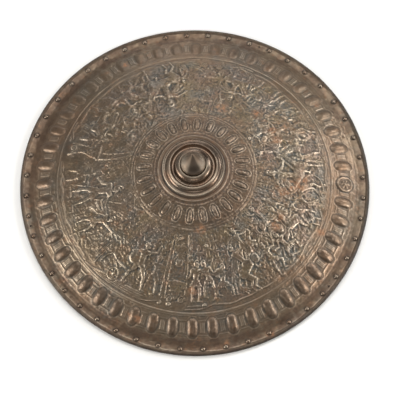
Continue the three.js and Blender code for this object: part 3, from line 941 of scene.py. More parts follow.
def carve():
    """Fills the relief grid: scenes, dividers, ornament, worn ground and dents."""
    for scene in (scene_a, scene_b, scene_c, scene_d):
        scene()
    dividers()
    fade = smooth_step(R, FIELD_INNER - 0.5, FIELD_INNER + 2)
    fade = fade * smooth_step(-R, -FIELD_OUTER - 0.5, -FIELD_OUTER + 2)
    flat = 1 - smooth_step(relief, 0.2, 0.9)
    border = 0.35 + 0.65 * smooth_step(-R, -218, -206)
    chased = 0.22 * grain(5, 0.75) + 0.24 * grain(9, 1.4)
    ground = border * (1 - 0.4 * CALM) * chased * (0.45 + 0.55 * flat) * IN_FIELD
    collar = 0.17 * grain(10, 1.0) * (R > 58) * (R < FIELD_INNER)
    brim = 0.07 * grain(13, 1.1) * (R > 230)
    scenes = FULL_HEIGHT * np.log1p(relief / FULL_HEIGHT) * fade
    scenes += (0.75 * RUBBED + 0.45 * SOFT_RIGHT) * (1.75 * blurred(scenes, 1.6) - scenes)
    dents = 0.16 * grain(6, 9) + 0.07 * grain(7, 2.5) + collar + brim
    return blurred(scenes + ground + ring_ornament() + dents, 0.34).astype(np.float32)


# ---------------------------------------------------------------- patina and painted light
def rust_map():
    """Where rust has taken hold, broken up by noise."""
    spots = np.zeros_like(R)
    for t, r, size in RUST_PATCHES:
        centre = polar(t, r)
        away2 = (GRID_X - centre[0]) ** 2 + (GRID_Y - centre[1]) ** 2
        spots = np.maximum(spots, np.exp(-away2 / size ** 2))
    return spots * (1.1 + 0.5 * grain(8, 2.2))


def wear_and_highlight_map(face):
    """Metal rubbed bright, with painted highlights: fine edges of the relief, the line inside the rolled
    rim, strongest at the foot, the brim on the right, and the border beads at the lower left.
    """
    edges = np.clip((blurred(face, 0.4) - blurred(face, 1.15)) / 0.25 - 0.15, 0, 1)
    in_scenes = 0.25 + 0.9 * smooth_step(face, 0.9, 2.2) * (1 - 0.45 * sector(264, 24))
    # painted highlights on the rolled rim and on the right of the brim
    rim_highlight = peak(R, 283.6, 0.9) * (0.25 + 0.75 * FOOT)
    rim_highlight += 0.10 * RIGHT * smooth_step(R, 262, 266) * (R < 284)
    # painted highlight on the border beads at the lower left
    border_highlight = LOWER_LEFT * np.exp(-((np.abs(R - 228.4) - 1.5) / 0.8) ** 2)
    return edges * np.where(IN_FIELD, in_scenes, 0.45) + 0.6 * rim_highlight + 0.3 * border_highlight


def gap_map():
    """Black: dirt and painted shade in the joint round the boss, strongest on the left and the right;
    painted shade on the rolled rim, most on the right; a dark ring round each rivet; a faint line in
    the groove inside the brim; and dirt in pits.
    """
    # painted shade in the joint, strongest on the left and the right
    joint_dirt_and_shade = peak(R, 51.8, 1.2, 4) * (0.6 + 0.4 * np.cos(2 * np.radians(T - 115)))
    aside, out, _ = row_place(RIVET_ROW)
    round_rivets = 0.65 * np.exp(-((np.hypot(aside, out) - 4.1) / 0.9) ** 2)
    # painted shade on the rolled rim, most on the right
    rolled_rim_shade = (0.35 + 0.35 * RIGHT) * smooth_step(R, 284.2, 285.4) + 0.4 * smooth_step(R, 287.6, 288.6)
    pits = np.clip(0.5 * grain(23, 0.9) - 0.35, 0, 0.7) * (R > 58)
    pits *= 0.8 - 0.45 * smooth_step(R, 204, 214)
    return joint_dirt_and_shade + 0.10 * peak(R, 267.7, 1.2) + round_rivets + rolled_rim_shade + pits


def dark_map():
    """Dark brown patina on the brim, the collar and the ovals, weaker on the right and left of the brim
    and on the right and the rubbed part of the outer ovals; on the right of the collar it is deepened
    as painted shade.
    """
    brim = 0.75 * smooth_step(R, 262, 266) * (1.05 - 0.95 * RIGHT - 0.5 * LEFT + 0.35 * grain(21, 6))
    brim += 0.3 * grain(22, 1.6) * (R > 262)
    # on the right the collar is darkened as painted shade
    collar = (0.38 * smooth_step(-R, -68, -64) + 0.36 * smooth_step(-R, -106, -98)) * (1 + 0.7 * RIGHT)
    outer = 0.7 * (1 - 0.75 * RIGHT) * (1 - 0.9 * RUBBED) * oval_mask(OUTER_ROW, 8.5, 14.6)
    return brim + collar + outer + 0.25 * oval_mask(INNER_ROW, 4.2, 10.8)


def hollow_map(face):
    """Dirt and painted shade in the hollows of the relief and between the ovals."""
    form = blurred(face, 0.5) - blurred(face, 1.8)
    return np.clip(-form / 0.55 - 0.05 + 0.3 * oval_mask(OUTER_ROW, 5.5, 8.5, 0.5), 0, 1) * (R > 60)


def patina_and_painted_light(face):
    """The maps from 0 to 1 that drive the metal's colours. field is where the ground is mottled."""
    field = smooth_step(R, 103, 107) * smooth_step(-R, -222, -209) * (1 - 0.65 * CALM)
    dark, gap, rust = dark_map(), gap_map(), rust_map()
    maps = {"crest": wear_and_highlight_map(face), "gap": gap, "hollow": hollow_map(face), "rust": rust, "dark": dark,
            "field": field}
    return {name: np.clip(values, 0, 1) for name, values in maps.items()}


# ---------------------------------------------------------------- meshes
STITCH = 4               # fine steps of the face to one step of the reverse
FIELD_EDGES = (-15.0, 74.0, 166.0, 252.5, 345.0)     # the band is cut along the dividers
REVERSE_BLUR = 1.6       # the reverse follows only the larger forms
PANEL_EDGE = 225.5       # radius at which the rim panel meets the band
EMPTY_HOLE_RADIUS = 1.6
CUTTER_LENGTH = 20.0
SLIVER = 1e-5            # metres; points this close together are one point


def sample(field, r, t):
    """Reads a grid at nominal polar points, t in radians, by bilinear weights."""
    fx = np.clip((r * np.sin(t) + HALF) / PITCH, 0, field.shape[1] - 1.001)
    fy = np.clip((-r * np.cos(t) + HALF) / PITCH, 0, field.shape[0] - 1.001)
    i, j = fx.astype(int), fy.astype(int)
    u, v = fx - i, fy - j
    return ((field[j, i] * (1 - u) + field[j, i + 1] * u) * (1 - v)
            + (field[j + 1, i] * (1 - u) + field[j + 1, i + 1] * u) * v)


def on_plate(r, t, z):
    """The point at a nominal radius, an angle in radians and a height, with the plate's own faults."""
    r_true = r * trueness(t, r)
    return np.stack([r_true * np.sin(t), -r_true * np.cos(t), z], -1)


def face_rows(r, t, height):
    """The embossed face: the grid carried out along the dome's own slope."""
    slope = plate_slope(r)
    norm = np.sqrt(1 + slope * slope)
    h = sample(height, r, t)
    return on_plate(r + h * slope / norm, t, plate_top(r) + h / norm)


def reverse_rows(r, t, height):
    """The reverse: a plainer surface that is hollow behind the larger forms."""
    return on_plate(r, t, plate_top(r) - PLATE_THICKNESS + 0.8 * sample(height, r, t))


def grid_quads(first, rows, cols, closed):
    """Four-cornered faces of a grid of points; a closed one joins its last column to its first."""
    i, j = np.meshgrid(np.arange(rows - 1), np.arange(cols if closed else cols - 1), indexing="ij")
    a, b = first + i * cols + j, first + i * cols + (j + 1) % cols
    return np.stack([a, b, b + cols, a + cols], -1).reshape(-1, 4)


def stitched(fine, coarse, turned=False):
    """Faces between a fine edge and a coarse one, whose points lie at every STITCH-th fine point."""
    faces = []
    for k in range(len(coarse) - 1):
        for j in range(STITCH):
            faces.append((coarse[k], fine[STITCH * k + j], fine[STITCH * k + j + 1]))
        faces.append((coarse[k], fine[STITCH * (k + 1)], coarse[k + 1]))
    return [(a, c, b) for a, b, c in faces] if turned else faces


def new_mesh(name, points, quads, triangles, sharp=(), values=None):
    """A smooth-shaded mesh in metres from points in millimetres."""
    mesh = bpy.data.meshes.new(name)
    quads = np.asarray(quads, np.int32).reshape(-1, 4)
    triangles = np.asarray(triangles, np.int32).reshape(-1, 3)
    corners = np.concatenate([quads.ravel(), triangles.ravel()])
    starts = np.concatenate([np.arange(len(quads)) * 4, len(quads) * 4 + np.arange(len(triangles)) * 3])
    mesh.vertices.add(len(points))
    mesh.vertices.foreach_set("co", (np.asarray(points, np.float32) * MM).ravel())
    mesh.loops.add(len(corners))
    mesh.loops.foreach_set("vertex_index", corners)
    mesh.polygons.add(len(starts))
    mesh.polygons.foreach_set("loop_start", starts.astype(np.int32))
    mesh.update(calc_edges=True)
    mesh.validate()
    mesh.shade_smooth()
    for key, value in (values or {}).items():
        mesh.attributes.new(key, "FLOAT", "POINT").data.foreach_set("value", value.astype(np.float32).ravel())
    if len(sharp):
        marked = np.zeros(len(points), bool)
        marked[np.asarray(sharp)] = True
        ends = np.zeros(len(mesh.edges) * 2, np.int32)
        mesh.edges.foreach_get("vertices", ends)
        mesh.edges.foreach_set("use_edge_sharp", marked[ends].reshape(-1, 2).all(1))
    obj = bpy.data.objects.new(name, mesh)
    bpy.context.collection.objects.link(obj)
    return obj


def plate_panel(name, face_radii, reverse_radii, angle_count, heights, worn, ends=None, roll=()):
    """A closed piece of the sheet. ends are the angles of its two cut sides, None for a whole ring;
    roll is a section, in radius and height, that leads from the face round to the reverse."""
    whole = ends is None
    first, last = (0.0, 360.0) if whole else ends
    angles = np.linspace(math.radians(first), math.radians(last), angle_count, endpoint=not whole)
    r, t = np.meshgrid(face_radii, angles, indexing="ij")
    face = face_rows(r, t, heights["face"])
    if len(roll):
        roll_r, roll_t = np.meshgrid([radius for radius, _ in roll], angles, indexing="ij")
        roll_z = np.meshgrid([z for _, z in roll], angles, indexing="ij")[0]
        face = np.concatenate([face, on_plate(roll_r, roll_t, roll_z)])
        r, t = np.concatenate([r, roll_r]), np.concatenate([t, roll_t])
    rear_r, rear_t = np.meshgrid(reverse_radii, angles[::STITCH], indexing="ij")
    reverse = reverse_rows(rear_r, rear_t, heights["reverse"])

    count = r.size
    index = np.arange(count).reshape(r.shape)
    rear_index = count + np.arange(rear_r.size).reshape(rear_r.shape)
    quads = np.concatenate([grid_quads(0, *r.shape, whole), grid_quads(count, *rear_r.shape, whole)])[:, ::-1]

    def edge(line):
        return np.append(line, line[0]) if whole else line

    triangles = stitched(edge(index[0]), edge(rear_index[-1]))
    triangles += stitched(edge(index[-1]), edge(rear_index[0]), turned=True)
    sharp = [index[0], rear_index[-1]]
    if not whole:
        triangles += stitched(index[:, 0], rear_index[::-1, 0], turned=True)
        triangles += stitched(index[:, -1], rear_index[::-1, -1])
        sharp += [index[:, 0], index[:, -1], rear_index[:, 0], rear_index[:, -1]]
    if not len(roll):
        sharp += [index[-1], rear_index[0]]
    points = np.concatenate([face.reshape(-1, 3), reverse.reshape(-1, 3)])
    all_r = np.concatenate([r.ravel(), rear_r.ravel()])
    all_t = np.concatenate([t.ravel(), rear_t.ravel()])
    on_face = np.arange(len(points)) < count
    values = {key: sample(grid, all_r, all_t) * on_face for key, grid in worn.items()}
    return new_mesh(name, points, quads, triangles, np.concatenate(sharp), values)


def steps(start, *stops):
    """Radii from the start outward: each stop is (radius, number of steps)."""
    radii = [start]
    for radius, count in stops:
        radii += list(np.linspace(radii[-1], radius, count + 1)[1:])
    return np.array(radii)


def rim_roll():
    """Section of the rolled rim from the brim over the top and round to the reverse."""
    centre = RIM_RADIUS - ROLL_RADIUS - 0.08
    sweep = np.radians(np.linspace(146, -181, 12))
    return [(centre + ROLL_RADIUS * math.cos(a), ROLL_RADIUS + ROLL_RADIUS * math.sin(a)) for a in sweep]


def drill(piece, angles, radius):
    """Cuts round holes through the brim where rivets are missing."""
    for t in angles:
        x, y, z = on_plate(RIVET_ROW[2], math.radians(t), BRIM_HEIGHT) * MM
        bpy.ops.mesh.primitive_cylinder_add(vertices=24, radius=radius * MM, depth=CUTTER_LENGTH * MM,
                                            location=(x, y, z))
        cutter = bpy.context.object
        cut = piece.modifiers.new("hole", "BOOLEAN")
        cut.operation = "DIFFERENCE"
        cut.solver = "EXACT"
        cut.object = cutter
        bpy.context.view_layer.objects.active = piece
        bpy.ops.object.modifier_apply(modifier=cut.name)
        bpy.data.objects.remove(cutter)
    mesh = bmesh.new()
    mesh.from_mesh(piece.data)
    bmesh.ops.remove_doubles(mesh, verts=mesh.verts, dist=SLIVER)
    bmesh.ops.dissolve_degenerate(mesh, edges=mesh.edges, dist=SLIVER)
    bmesh.ops.triangulate(mesh, faces=[face for face in mesh.faces if len(face.verts) > 4])
    mesh.to_mesh(piece.data)
    mesh.free()


def build_plate():
    """The sheet in six panels: collar, four lengths of the figure band, and rim."""
    face = carve()
    heights = {"face": face, "reverse": blurred(np.maximum(face, 0), REVERSE_BLUR)}
    # patina together with painted highlights and painted shade
    worn = patina_and_painted_light(face)
    panels = [plate_panel("plate_collar", steps(8.5, (49, 6), (60, 16), (68, 10), (93, 34), (104, 14)),
                          np.linspace(104, 8.5, 21), 720, heights, worn)]
    for k, ends in enumerate(zip(FIELD_EDGES, FIELD_EDGES[1:])):
        panels.append(plate_panel(f"plate_field_{k + 1}", np.linspace(104, PANEL_EDGE, 169),
                                  np.linspace(PANEL_EDGE, 104, 43), 361, heights, worn, ends))
    rim = plate_panel("plate_rim", steps(PANEL_EDGE, (231, 7), (266, 36), (276, 10), (283, 4)),
                      np.linspace(283, PANEL_EDGE, 15), 1296, heights, worn, roll=rim_roll())
    drill(rim, EMPTY_HOLES, EMPTY_HOLE_RADIUS)
    return panels + [rim]


# ---------------------------------------------------------------- turned pieces
# Outlines in radius and height; the boss is a closed ring, the spike starts and ends on the axis
BOSS_OUTLINE = ((8.5, 98.6), (30, 94.0), (49.8, 89.0),
                (50.9, 90.0), (50.8, 92.0), (49.6, 93.4), (48.4, 93.0), (47.2, 92.2), (44.8, 92.8),
                (42.2, 94.4), (40.8, 96.6), (39.6, 98.2), (38.2, 98.6), (37.0, 97.8), (36.0, 95.2),
                (34.6, 94.0), (31.4, 94.0), (30.2, 96.4), (29.6, 99.4), (28.2, 101.8), (25.6, 103.4),
                (23.4, 104.5), (22.0, 104.8), (21.0, 104.0), (20.4, 102.1), (8.5, 102.0))
SHANK_OUTLINE = ((0, 91.8), (9, 92.4), (14, 95.3), (8.2, 95.3), (8.2, 102.3))
POINT_OUTLINE = ((17.0, 102.3), (19.5, 104.6), (20.4, 107.4), (19.8, 110.8), (17.6, 114.8), (14.2, 119.4),
                 (10.8, 124.4), (7.6, 130.4), (4.6, 137.2), (1.6, 144.6), (0, 146.78))
RUBBED_HIGHLIT_EDGES = (49.6, 38.4, 22.6)      # radii of the boss's rubbed edges, which carry a painted highlight
RIVET_HEAD = (3.7, 2.8)              # radius and height
RIVET_SHANK = (1.5, 3.0)             # radius and length


def turned_piece(name, outline, segments, painted_shade=None, wear=None):
    """Turns an outline of (radius, height) about the axis; ends on the axis are closed. The two
    functions give painted shade and rubbed metal with painted highlights, 0 to 1, from radius,
    angle and height."""
    outline = np.asarray(outline, float)
    angles = np.linspace(0, 2 * math.pi, segments, endpoint=False)
    on_axis = outline[:, 0] < 1e-6
    rings = outline[~on_axis]
    r, t = np.meshgrid(rings[:, 0], angles, indexing="ij")
    z = np.repeat(rings[:, 1:2], segments, 1)
    shade = painted_shade(r, t, z).ravel() if painted_shade else np.zeros(r.size)
    bright = wear(r, t, z).ravel() if wear else np.zeros(r.size)
    points = np.stack([r * np.sin(t), -r * np.cos(t), z], -1).reshape(-1, 3)
    quads = grid_quads(0, len(rings), segments, True)
    j = np.arange(segments)
    k = (j + 1) % segments
    last = (len(rings) - 1) * segments
    triangles = []
    if on_axis.any():
        low, high = len(points), len(points) + 1
        points = np.concatenate([points, [[0, 0, outline[0, 1]], [0, 0, outline[-1, 1]]]])
        shade, bright = np.append(shade, [0, 0]), np.append(bright, [0, 0])
        for a, b in zip(j, k):
            triangles += [(low, b, a), (high, last + a, last + b)]
    else:
        quads = np.concatenate([quads, np.stack([last + j, last + k, k, j], -1)])
    return new_mesh(name, points, quads, triangles, values={"dark": shade, "crest": bright})


def spike_painted_shade(r, t, z):
    """Painted shade: the point is darkest down its front."""
    return 0.8 * smooth_step(np.cos(t - 0.08), 0.74, 0.90) * smooth_step(z, 106, 112)


def spike_tone_and_highlight(r, t, z):
    """The ball is a little lighter than the boss round it, with a painted highlight on its two sides."""
    return 0.14 + 0.22 * peak(z, 111, 5) * np.abs(np.sin(t))


def boss_painted_shade(r, t, z):
    """Painted shade in the steps round the seat, most on the far right and a little on the left, and on
    the right of the outer part.
    """
    right = peak(t, math.radians(120), 0.5, 4) * peak(r, 24.0, 3.2, 4)
    left = peak(t, math.radians(284), 0.25) * peak(r, 32.5, 2.5, 4)
    outside = peak(t, math.radians(105), 0.75, 4) * smooth_step(r, 36, 40)
    return np.clip(right + 0.8 * left + 0.55 * outside, 0, 1)


def boss_wear_and_highlight(r, t, z):
    """Rubbed edges: the outer bead, the lip of the channel and the ring, with a painted highlight that is
    strongest towards the front.
    """
    edges = sum(peak(r, edge, 1.5) for edge in RUBBED_HIGHLIT_EDGES)
    return edges * (0.30 + 0.30 * np.cos(t)) * (z > 92)


def rounded(outline, times, closed):
    """Cuts the corners of an outline so that it becomes a smooth curve inside the first one."""
    line = np.asarray(outline, float)
    for _ in range(times):
        after = np.roll(line, -1, 0) if closed else line[1:]
        here = line if closed else line[:-1]
        cut = np.stack([0.75 * here + 0.25 * after, 0.25 * here + 0.75 * after], 1).reshape(-1, 2)
        line = cut if closed else np.concatenate([line[:1], cut[1:-1], line[-1:]])
    return line


def build_rivet(k):
    """A round head on a plain shank, a little different each time."""
    count, first, row_radius = RIVET_ROW
    t = math.radians(first + k * 360 / count)
    foot = float(plate_top(row_radius)) + 0.15
    rng = np.random.default_rng(300 + k)
    radius, height = RIVET_HEAD[0] * rng.uniform(0.95, 1.0), RIVET_HEAD[1] * rng.uniform(0.85, 1.0)
    shank, length = RIVET_SHANK
    outline = [(0, foot - length), (shank, foot - length), (shank, foot), (radius, foot)]
    outline += [(radius * math.cos(a), foot + height * math.sin(a)) for a in np.radians((18, 36, 54, 72))]
    outline.append((0, foot + height))
    rivet = turned_piece(f"rivet_head_{k + 1:02d}", outline, 20)
    rivet.data.transform(Matrix.Translation(on_plate(row_radius, t, 0.0) * MM))
    return rivet


# ---------------------------------------------------------------- materials
BROWN = (0.165, 0.122, 0.082)
BROWN_WARM = (0.180, 0.118, 0.076)
BROWN_GREY = (0.130, 0.108, 0.085)
# rubbed metal with painted highlights
RUBBED_METAL_AND_HIGHLIGHT = (0.64, 0.54, 0.42)
HOLLOW_DIRT_AND_SHADE = (0.040, 0.037, 0.031)
VERDIGRIS = (0.098, 0.102, 0.094)
RUST = (0.34, 0.158, 0.072)
BRIM_BROWN = (0.104, 0.064, 0.043)
OLIVE = (0.154, 0.124, 0.086)
MAUVE = (0.190, 0.132, 0.104)
GOLD = (0.200, 0.148, 0.082)
SLATE = (0.138, 0.132, 0.116)
FRECKLE = (0.26, 0.135, 0.072)
# painted shade on the boss and the spike
PAINTED_SHADE_BROWN = (0.032, 0.021, 0.015)
SHADOW_DIRT = (0.020, 0.017, 0.014)
BOSS_BROWN = (0.145, 0.114, 0.087)
RIVET_BROWN = (0.24, 0.195, 0.150)
TURNED_WARM = (0.165, 0.105, 0.070)
TURNED_PITS = (0.075, 0.062, 0.050)
PAPER = (0.90, 0.90, 0.90)
PAPER_SHADE = (0.87, 0.87, 0.865)

# Mottled colours of the band: size of the noise, where it starts, strength, colour
FIELD_PATCHES = ((11, 0.42, 0.6, OLIVE), (17, 0.48, 0.65, MAUVE), (23, 0.50, 0.6, GOLD),
                 (31, 0.50, 0.6, SLATE))
PLATE_METALLIC, TURNED_METALLIC = 0.88, 0.8
BOSS_ROUGHNESS, RIVET_ROUGHNESS = 0.26, 0.27
COAT_WEIGHT, COAT_ROUGHNESS = 0.12, 0.3      # a thin clear layer on the plate, as of wax
PAPER_ROUGHNESS = 0.9

# Sockets of a colour mix node: share, first colour, second colour, and the result
MIX_SHARE, MIX_FIRST, MIX_SECOND, MIX_RESULT = 0, 6, 7, 2


class Surface:
    """Wires one surface: colours are mixed in turn, each by its own mask."""

    def __init__(self, name, colour):
        self.material = bpy.data.materials.new(name)
        self.material.use_nodes = True
        self.tree = self.material.node_tree
        self.shader = self.tree.nodes["Principled BSDF"]
        self.place = self.tree.nodes.new("ShaderNodeTexCoord").outputs["Object"]
        self.colour = colour

    def noise(self, scale, detail=6.0, rough=0.6):
        made = self.tree.nodes.new("ShaderNodeTexNoise")
        made.inputs["Scale"].default_value = scale
        made.inputs["Detail"].default_value = detail
        made.inputs["Roughness"].default_value = rough
        self.tree.links.new(self.place, made.inputs["Vector"])
        return made.outputs["Fac"]

    def attribute(self, name):
        made = self.tree.nodes.new("ShaderNodeAttribute")
        made.attribute_name = name
        return made.outputs["Fac"]

    def spread(self, value, low, high, out_low=0.0, out_high=1.0):
        """Carries low and high to out_low and out_high, and everything between them in step."""
        made = self.tree.nodes.new("ShaderNodeMapRange")
        made.inputs["From Min"].default_value = low
        made.inputs["From Max"].default_value = high
        made.inputs["To Min"].default_value = out_low
        made.inputs["To Max"].default_value = out_high
        self.tree.links.new(value, made.inputs["Value"])
        return made.outputs["Result"]

    def math(self, operation, a, b):
        """Works out two numbers or sockets, held between 0 and 1."""
        made = self.tree.nodes.new("ShaderNodeMath")
        made.operation = operation
        made.use_clamp = True
        for socket, value in zip(made.inputs, (a, b)):
            if isinstance(value, (int, float)):
                socket.default_value = value
            else:
                self.tree.links.new(value, socket)
        return made.outputs[0]

    def times(self, first, *others):
        for other in others:
            first = self.math("MULTIPLY", first, other)
        return first

    def mix(self, mask, colour):
        """Lays a colour over what is there so far, where the mask is."""
        made = self.tree.nodes.new("ShaderNodeMix")
        made.data_type = "RGBA"
        if isinstance(self.colour, tuple):
            made.inputs[MIX_FIRST].default_value = (*self.colour, 1)
        else:
            self.tree.links.new(self.colour, made.inputs[MIX_FIRST])
        made.inputs[MIX_SECOND].default_value = (*colour, 1)
        self.tree.links.new(mask, made.inputs[MIX_SHARE])
        self.colour = made.outputs[MIX_RESULT]

    def bump(self, height, strength, distance):
        made = self.tree.nodes.new("ShaderNodeBump")
        made.inputs["Strength"].default_value = strength
        made.inputs["Distance"].default_value = distance
        self.tree.links.new(height, made.inputs["Height"])
        self.tree.links.new(made.outputs["Normal"], self.shader.inputs["Normal"])

    def drive(self, socket, value):
        self.tree.links.new(value, self.shader.inputs[socket])

    def finish(self):
        self.drive("Base Color", self.colour)
        return self.material


def plate_metal():
    """Brown patina that is mottled on the band, dirty and painted with shade in the hollows, bright on
    the crests with rubbed metal and painted highlights, and rusty in patches."""
    s = Surface("plate iron", BROWN)
    dark, field, rust = s.attribute("dark"), s.attribute("field"), s.attribute("rust")
    hollow, crest, gap = s.attribute("hollow"), s.attribute("crest"), s.attribute("gap")
    s.mix(s.spread(s.noise(7, 5), 0.42, 0.60), BROWN_WARM)
    s.mix(s.spread(s.noise(16, 6, 0.65), 0.48, 0.66), BROWN_GREY)
    s.mix(s.times(dark, 0.8), BRIM_BROWN)
    for scale, low, share, colour in FIELD_PATCHES:
        s.mix(s.times(field, s.spread(s.noise(scale, 5), low, low + 0.14), share), colour)
    # dirt and painted shade in the hollows
    s.mix(s.times(hollow, 0.85), HOLLOW_DIRT_AND_SHADE)
    s.mix(s.times(hollow, field, s.spread(s.noise(30, 4), 0.42, 0.58), 0.8), VERDIGRIS)
    # rubbed metal and painted highlights on the crests
    s.mix(s.times(crest, s.spread(s.noise(60, 5, 0.7), 0.35, 0.65, 0.3, 1.0), 0.85), RUBBED_METAL_AND_HIGHLIGHT)
    rust = s.times(rust, s.spread(s.noise(160, 6, 0.7), 0.38, 0.58))
    s.mix(s.times(rust, 0.85), RUST)
    s.mix(s.times(s.spread(s.noise(75, 8, 0.72), 0.55, 0.70), 0.55), FRECKLE)
    s.mix(s.times(gap, 0.95), SHADOW_DIRT)

    dull = s.math("ADD", hollow, gap)
    rough = s.spread(s.noise(55, 6, 0.65), 0.3, 0.7, 0.30, 0.50)
    rough = s.math("SUBTRACT", rough, s.times(crest, 0.10))
    for cause, share in ((dull, 0.3), (rust, 0.25), (dark, 0.06)):
        rough = s.math("ADD", rough, s.times(cause, share))
    s.drive("Roughness", rough)
    metal = s.math("SUBTRACT", PLATE_METALLIC, s.times(dull, 0.5))
    s.drive("Metallic", s.math("SUBTRACT", metal, s.times(rust, 0.6)))
    s.shader.inputs["Coat Weight"].default_value = COAT_WEIGHT
    s.shader.inputs["Coat Roughness"].default_value = COAT_ROUGHNESS
    pits = s.math("ADD", s.times(s.noise(260, 6, 0.65), 0.6), s.times(s.noise(420, 4, 0.7), 0.4))
    s.bump(s.times(pits, s.spread(field, 0, 1, 0.6, 1.0)), 0.45, 0.0008)
    return s.finish()


def turned_metal(name, colour, roughness):
    """The smoother metal of the boss, the spike and the rivets."""
    s = Surface(name, colour)
    crest, dark = s.attribute("crest"), s.attribute("dark")
    s.mix(s.spread(s.noise(35, 6, 0.65), 0.4, 0.65), TURNED_WARM)
    s.mix(s.spread(s.noise(120, 6, 0.7), 0.60, 0.80), TURNED_PITS)
    # rubbed metal with painted highlights, then painted shade
    s.mix(crest, RUBBED_METAL_AND_HIGHLIGHT)
    s.mix(s.times(dark, 0.9), PAINTED_SHADE_BROWN)
    rough = s.spread(s.noise(40, 5, 0.6), 0.3, 0.7, roughness - 0.04, roughness + 0.06)
    s.drive("Roughness", s.math("ADD", rough, s.times(crest, 0.2)))
    s.shader.inputs["Metallic"].default_value = TURNED_METALLIC
    s.bump(s.noise(60, 4, 0.5), 0.08, 0.0005)
    return s.finish()


def floor_paper():
    """Plain white paper with a faint unevenness."""
    s = Surface("floor", PAPER)
    s.mix(s.spread(s.noise(3, 3), 0.3, 0.7, 0, 0.2), PAPER_SHADE)
    s.shader.inputs["Roughness"].default_value = PAPER_ROUGHNESS
    return s.finish()


# ---------------------------------------------------------------- assembly
def dress(piece, part, material):
    """Gives a piece its metal and puts it in the place of a CAD part."""
    piece.data.materials.append(material)
    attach(piece, "root")
    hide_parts(part)


plate_iron = plate_metal()
boss_iron = turned_metal("boss iron", BOSS_BROWN, BOSS_ROUGHNESS)
rivet_iron = turned_metal("rivet iron", RIVET_BROWN, RIVET_ROUGHNESS)

for panel in build_plate():
    dress(panel, "shield_plate", plate_iron)

boss = turned_piece("boss_turned", rounded(BOSS_OUTLINE, 2, True), 224, boss_painted_shade, boss_wear_and_highlight)
spike_outline = np.concatenate([SHANK_OUTLINE, rounded(POINT_OUTLINE, 3, False)])
spike = turned_piece("spike_turned", spike_outline, 112, spike_painted_shade, spike_tone_and_highlight)
dress(boss, "boss", boss_iron)
dress(spike, "spike", boss_iron)

for k in range(RIVET_ROW[0]):
    dress(build_rivet(k), f"rivet_{k + 1:02d}", rivet_iron)

# ---------------------------------------------------------------- camera and floor
IMAGE_PX = 400.0                         # width of the photograph
FOCAL_PX = 1783.75                       # focal length in its pixels
SENSOR_MM = 36.0
CAMERA_ELEVATION = math.radians(68.67)   # above the floor, seen from -Y
CAMERA_DISTANCE = 2.963                  # metres
CAMERA_ROLL = -0.0633                    # radians
OFF_AXIS_PX = (5.43, -13.0)              # where the camera aims, right and up of the shield's middle
FLOOR_SIZE = 30.0
FLOOR_GAP = 0.0005                       # metres below the rim


def aimed_camera():
    """A camera that stands on a line through the middle of the rim and looks a little beside it."""
    middle = Vector((0, 0, ROLL_RADIUS * MM))
    back = Vector((0, -math.cos(CAMERA_ELEVATION), math.sin(CAMERA_ELEVATION)))
    side, rise = Vector((1, 0, 0)), Vector((0, math.sin(CAMERA_ELEVATION), math.cos(CAMERA_ELEVATION)))
    right = math.cos(CAMERA_ROLL) * side + math.sin(CAMERA_ROLL) * rise
    above = -math.sin(CAMERA_ROLL) * side + math.cos(CAMERA_ROLL) * rise
    eye = middle + back * CAMERA_DISTANCE
    aim = middle + (right * OFF_AXIS_PX[0] + above * OFF_AXIS_PX[1]) * (CAMERA_DISTANCE / FOCAL_PX)
    z_axis = (eye - aim).normalized()
    x_axis = above.cross(z_axis).normalized()
    y_axis = z_axis.cross(x_axis)
    made = bpy.data.objects.new("camera", bpy.data.cameras.new("camera"))
    made.data.sensor_width = SENSOR_MM
    made.data.lens = FOCAL_PX / IMAGE_PX * SENSOR_MM
    made.matrix_world = Matrix.Translation(eye) @ Matrix((x_axis, y_axis, z_axis)).transposed().to_4x4()
    bpy.context.collection.objects.link(made)
    return made


bpy.context.scene.camera = aimed_camera()

bpy.ops.mesh.primitive_plane_add(size=FLOOR_SIZE)
floor = bpy.context.object
floor.name = "floor"
floor.location.z = -FLOOR_GAP
floor.data.materials.append(floor_paper())

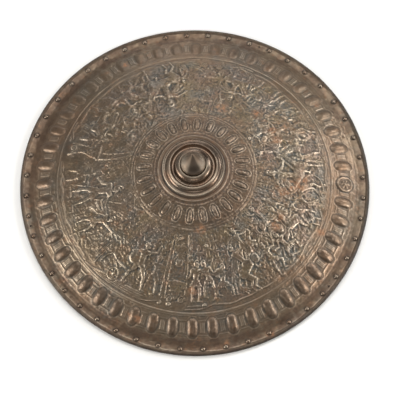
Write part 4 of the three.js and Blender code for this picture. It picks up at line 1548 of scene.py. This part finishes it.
# ---------------------------------------------------------------- light
WARM = (1.0, 0.97, 0.92)
NEUTRAL = (1.0, 0.985, 0.96)
COOL = (0.97, 0.98, 1.0)
LAMP_TARGET = Vector((0, 0, 0.05))

# Soft boxes round the shield: name, place and size in metres, watts, colour
LAMPS = (("front left", (-2.25, -0.75, 1.15), (0.9, 0.9), 32, WARM),
         ("front right", (2.25, -0.75, 1.15), (0.9, 0.9), 30, WARM),
         ("front", (0, -2.0, 2.1), (1.6, 0.35), 9, WARM),
         ("left", (-2.4, -0.2, 0.6), (1.5, 0.9), 20, WARM),
         ("back", (0, 2.9, 1.05), (1.6, 0.35), 11, COOL),
         ("low right", (2.4, -0.2, 0.6), (1.5, 0.9), 13, NEUTRAL),
         ("right", (2.4, 1.3, 1.3), (0.9, 0.9), 30, NEUTRAL),
         ("overhead", (0.1, 1.5, 2.9), (2.6, 1.8), 46, NEUTRAL))

ROOM_COLOUR = (0.93, 0.93, 0.92, 1)
ROOM_FALL = (("From Min", -0.95), ("From Max", 0.1), ("To Min", 0.04), ("To Max", 0.30))


def studio_world():
    """A soft grey room that is dimmer on the side of the camera."""
    world = bpy.data.worlds.new("studio")
    world.use_nodes = True
    tree = world.node_tree
    place = tree.nodes.new("ShaderNodeTexCoord")
    axes = tree.nodes.new("ShaderNodeSeparateXYZ")
    fall = tree.nodes.new("ShaderNodeMapRange")
    for socket, value in ROOM_FALL:
        fall.inputs[socket].default_value = value
    tree.links.new(place.outputs["Generated"], axes.inputs[0])
    tree.links.new(axes.outputs["Y"], fall.inputs["Value"])
    tree.links.new(fall.outputs["Result"], tree.nodes["Background"].inputs["Strength"])
    tree.nodes["Background"].inputs["Color"].default_value = ROOM_COLOUR
    return world


for name, place, size, watts, colour in LAMPS:
    light = bpy.data.lights.new(name, "AREA")
    light.shape = "RECTANGLE"
    light.size, light.size_y = size
    light.energy = watts
    light.color = colour
    lamp = bpy.data.objects.new(name, light)
    lamp.location = place
    lamp.rotation_euler = (Vector(place) - LAMP_TARGET).to_track_quat("Z", "Y").to_euler()
    bpy.context.collection.objects.link(lamp)

bpy.context.scene.world = studio_world()
bpy.context.scene.view_settings.view_transform = "Standard"
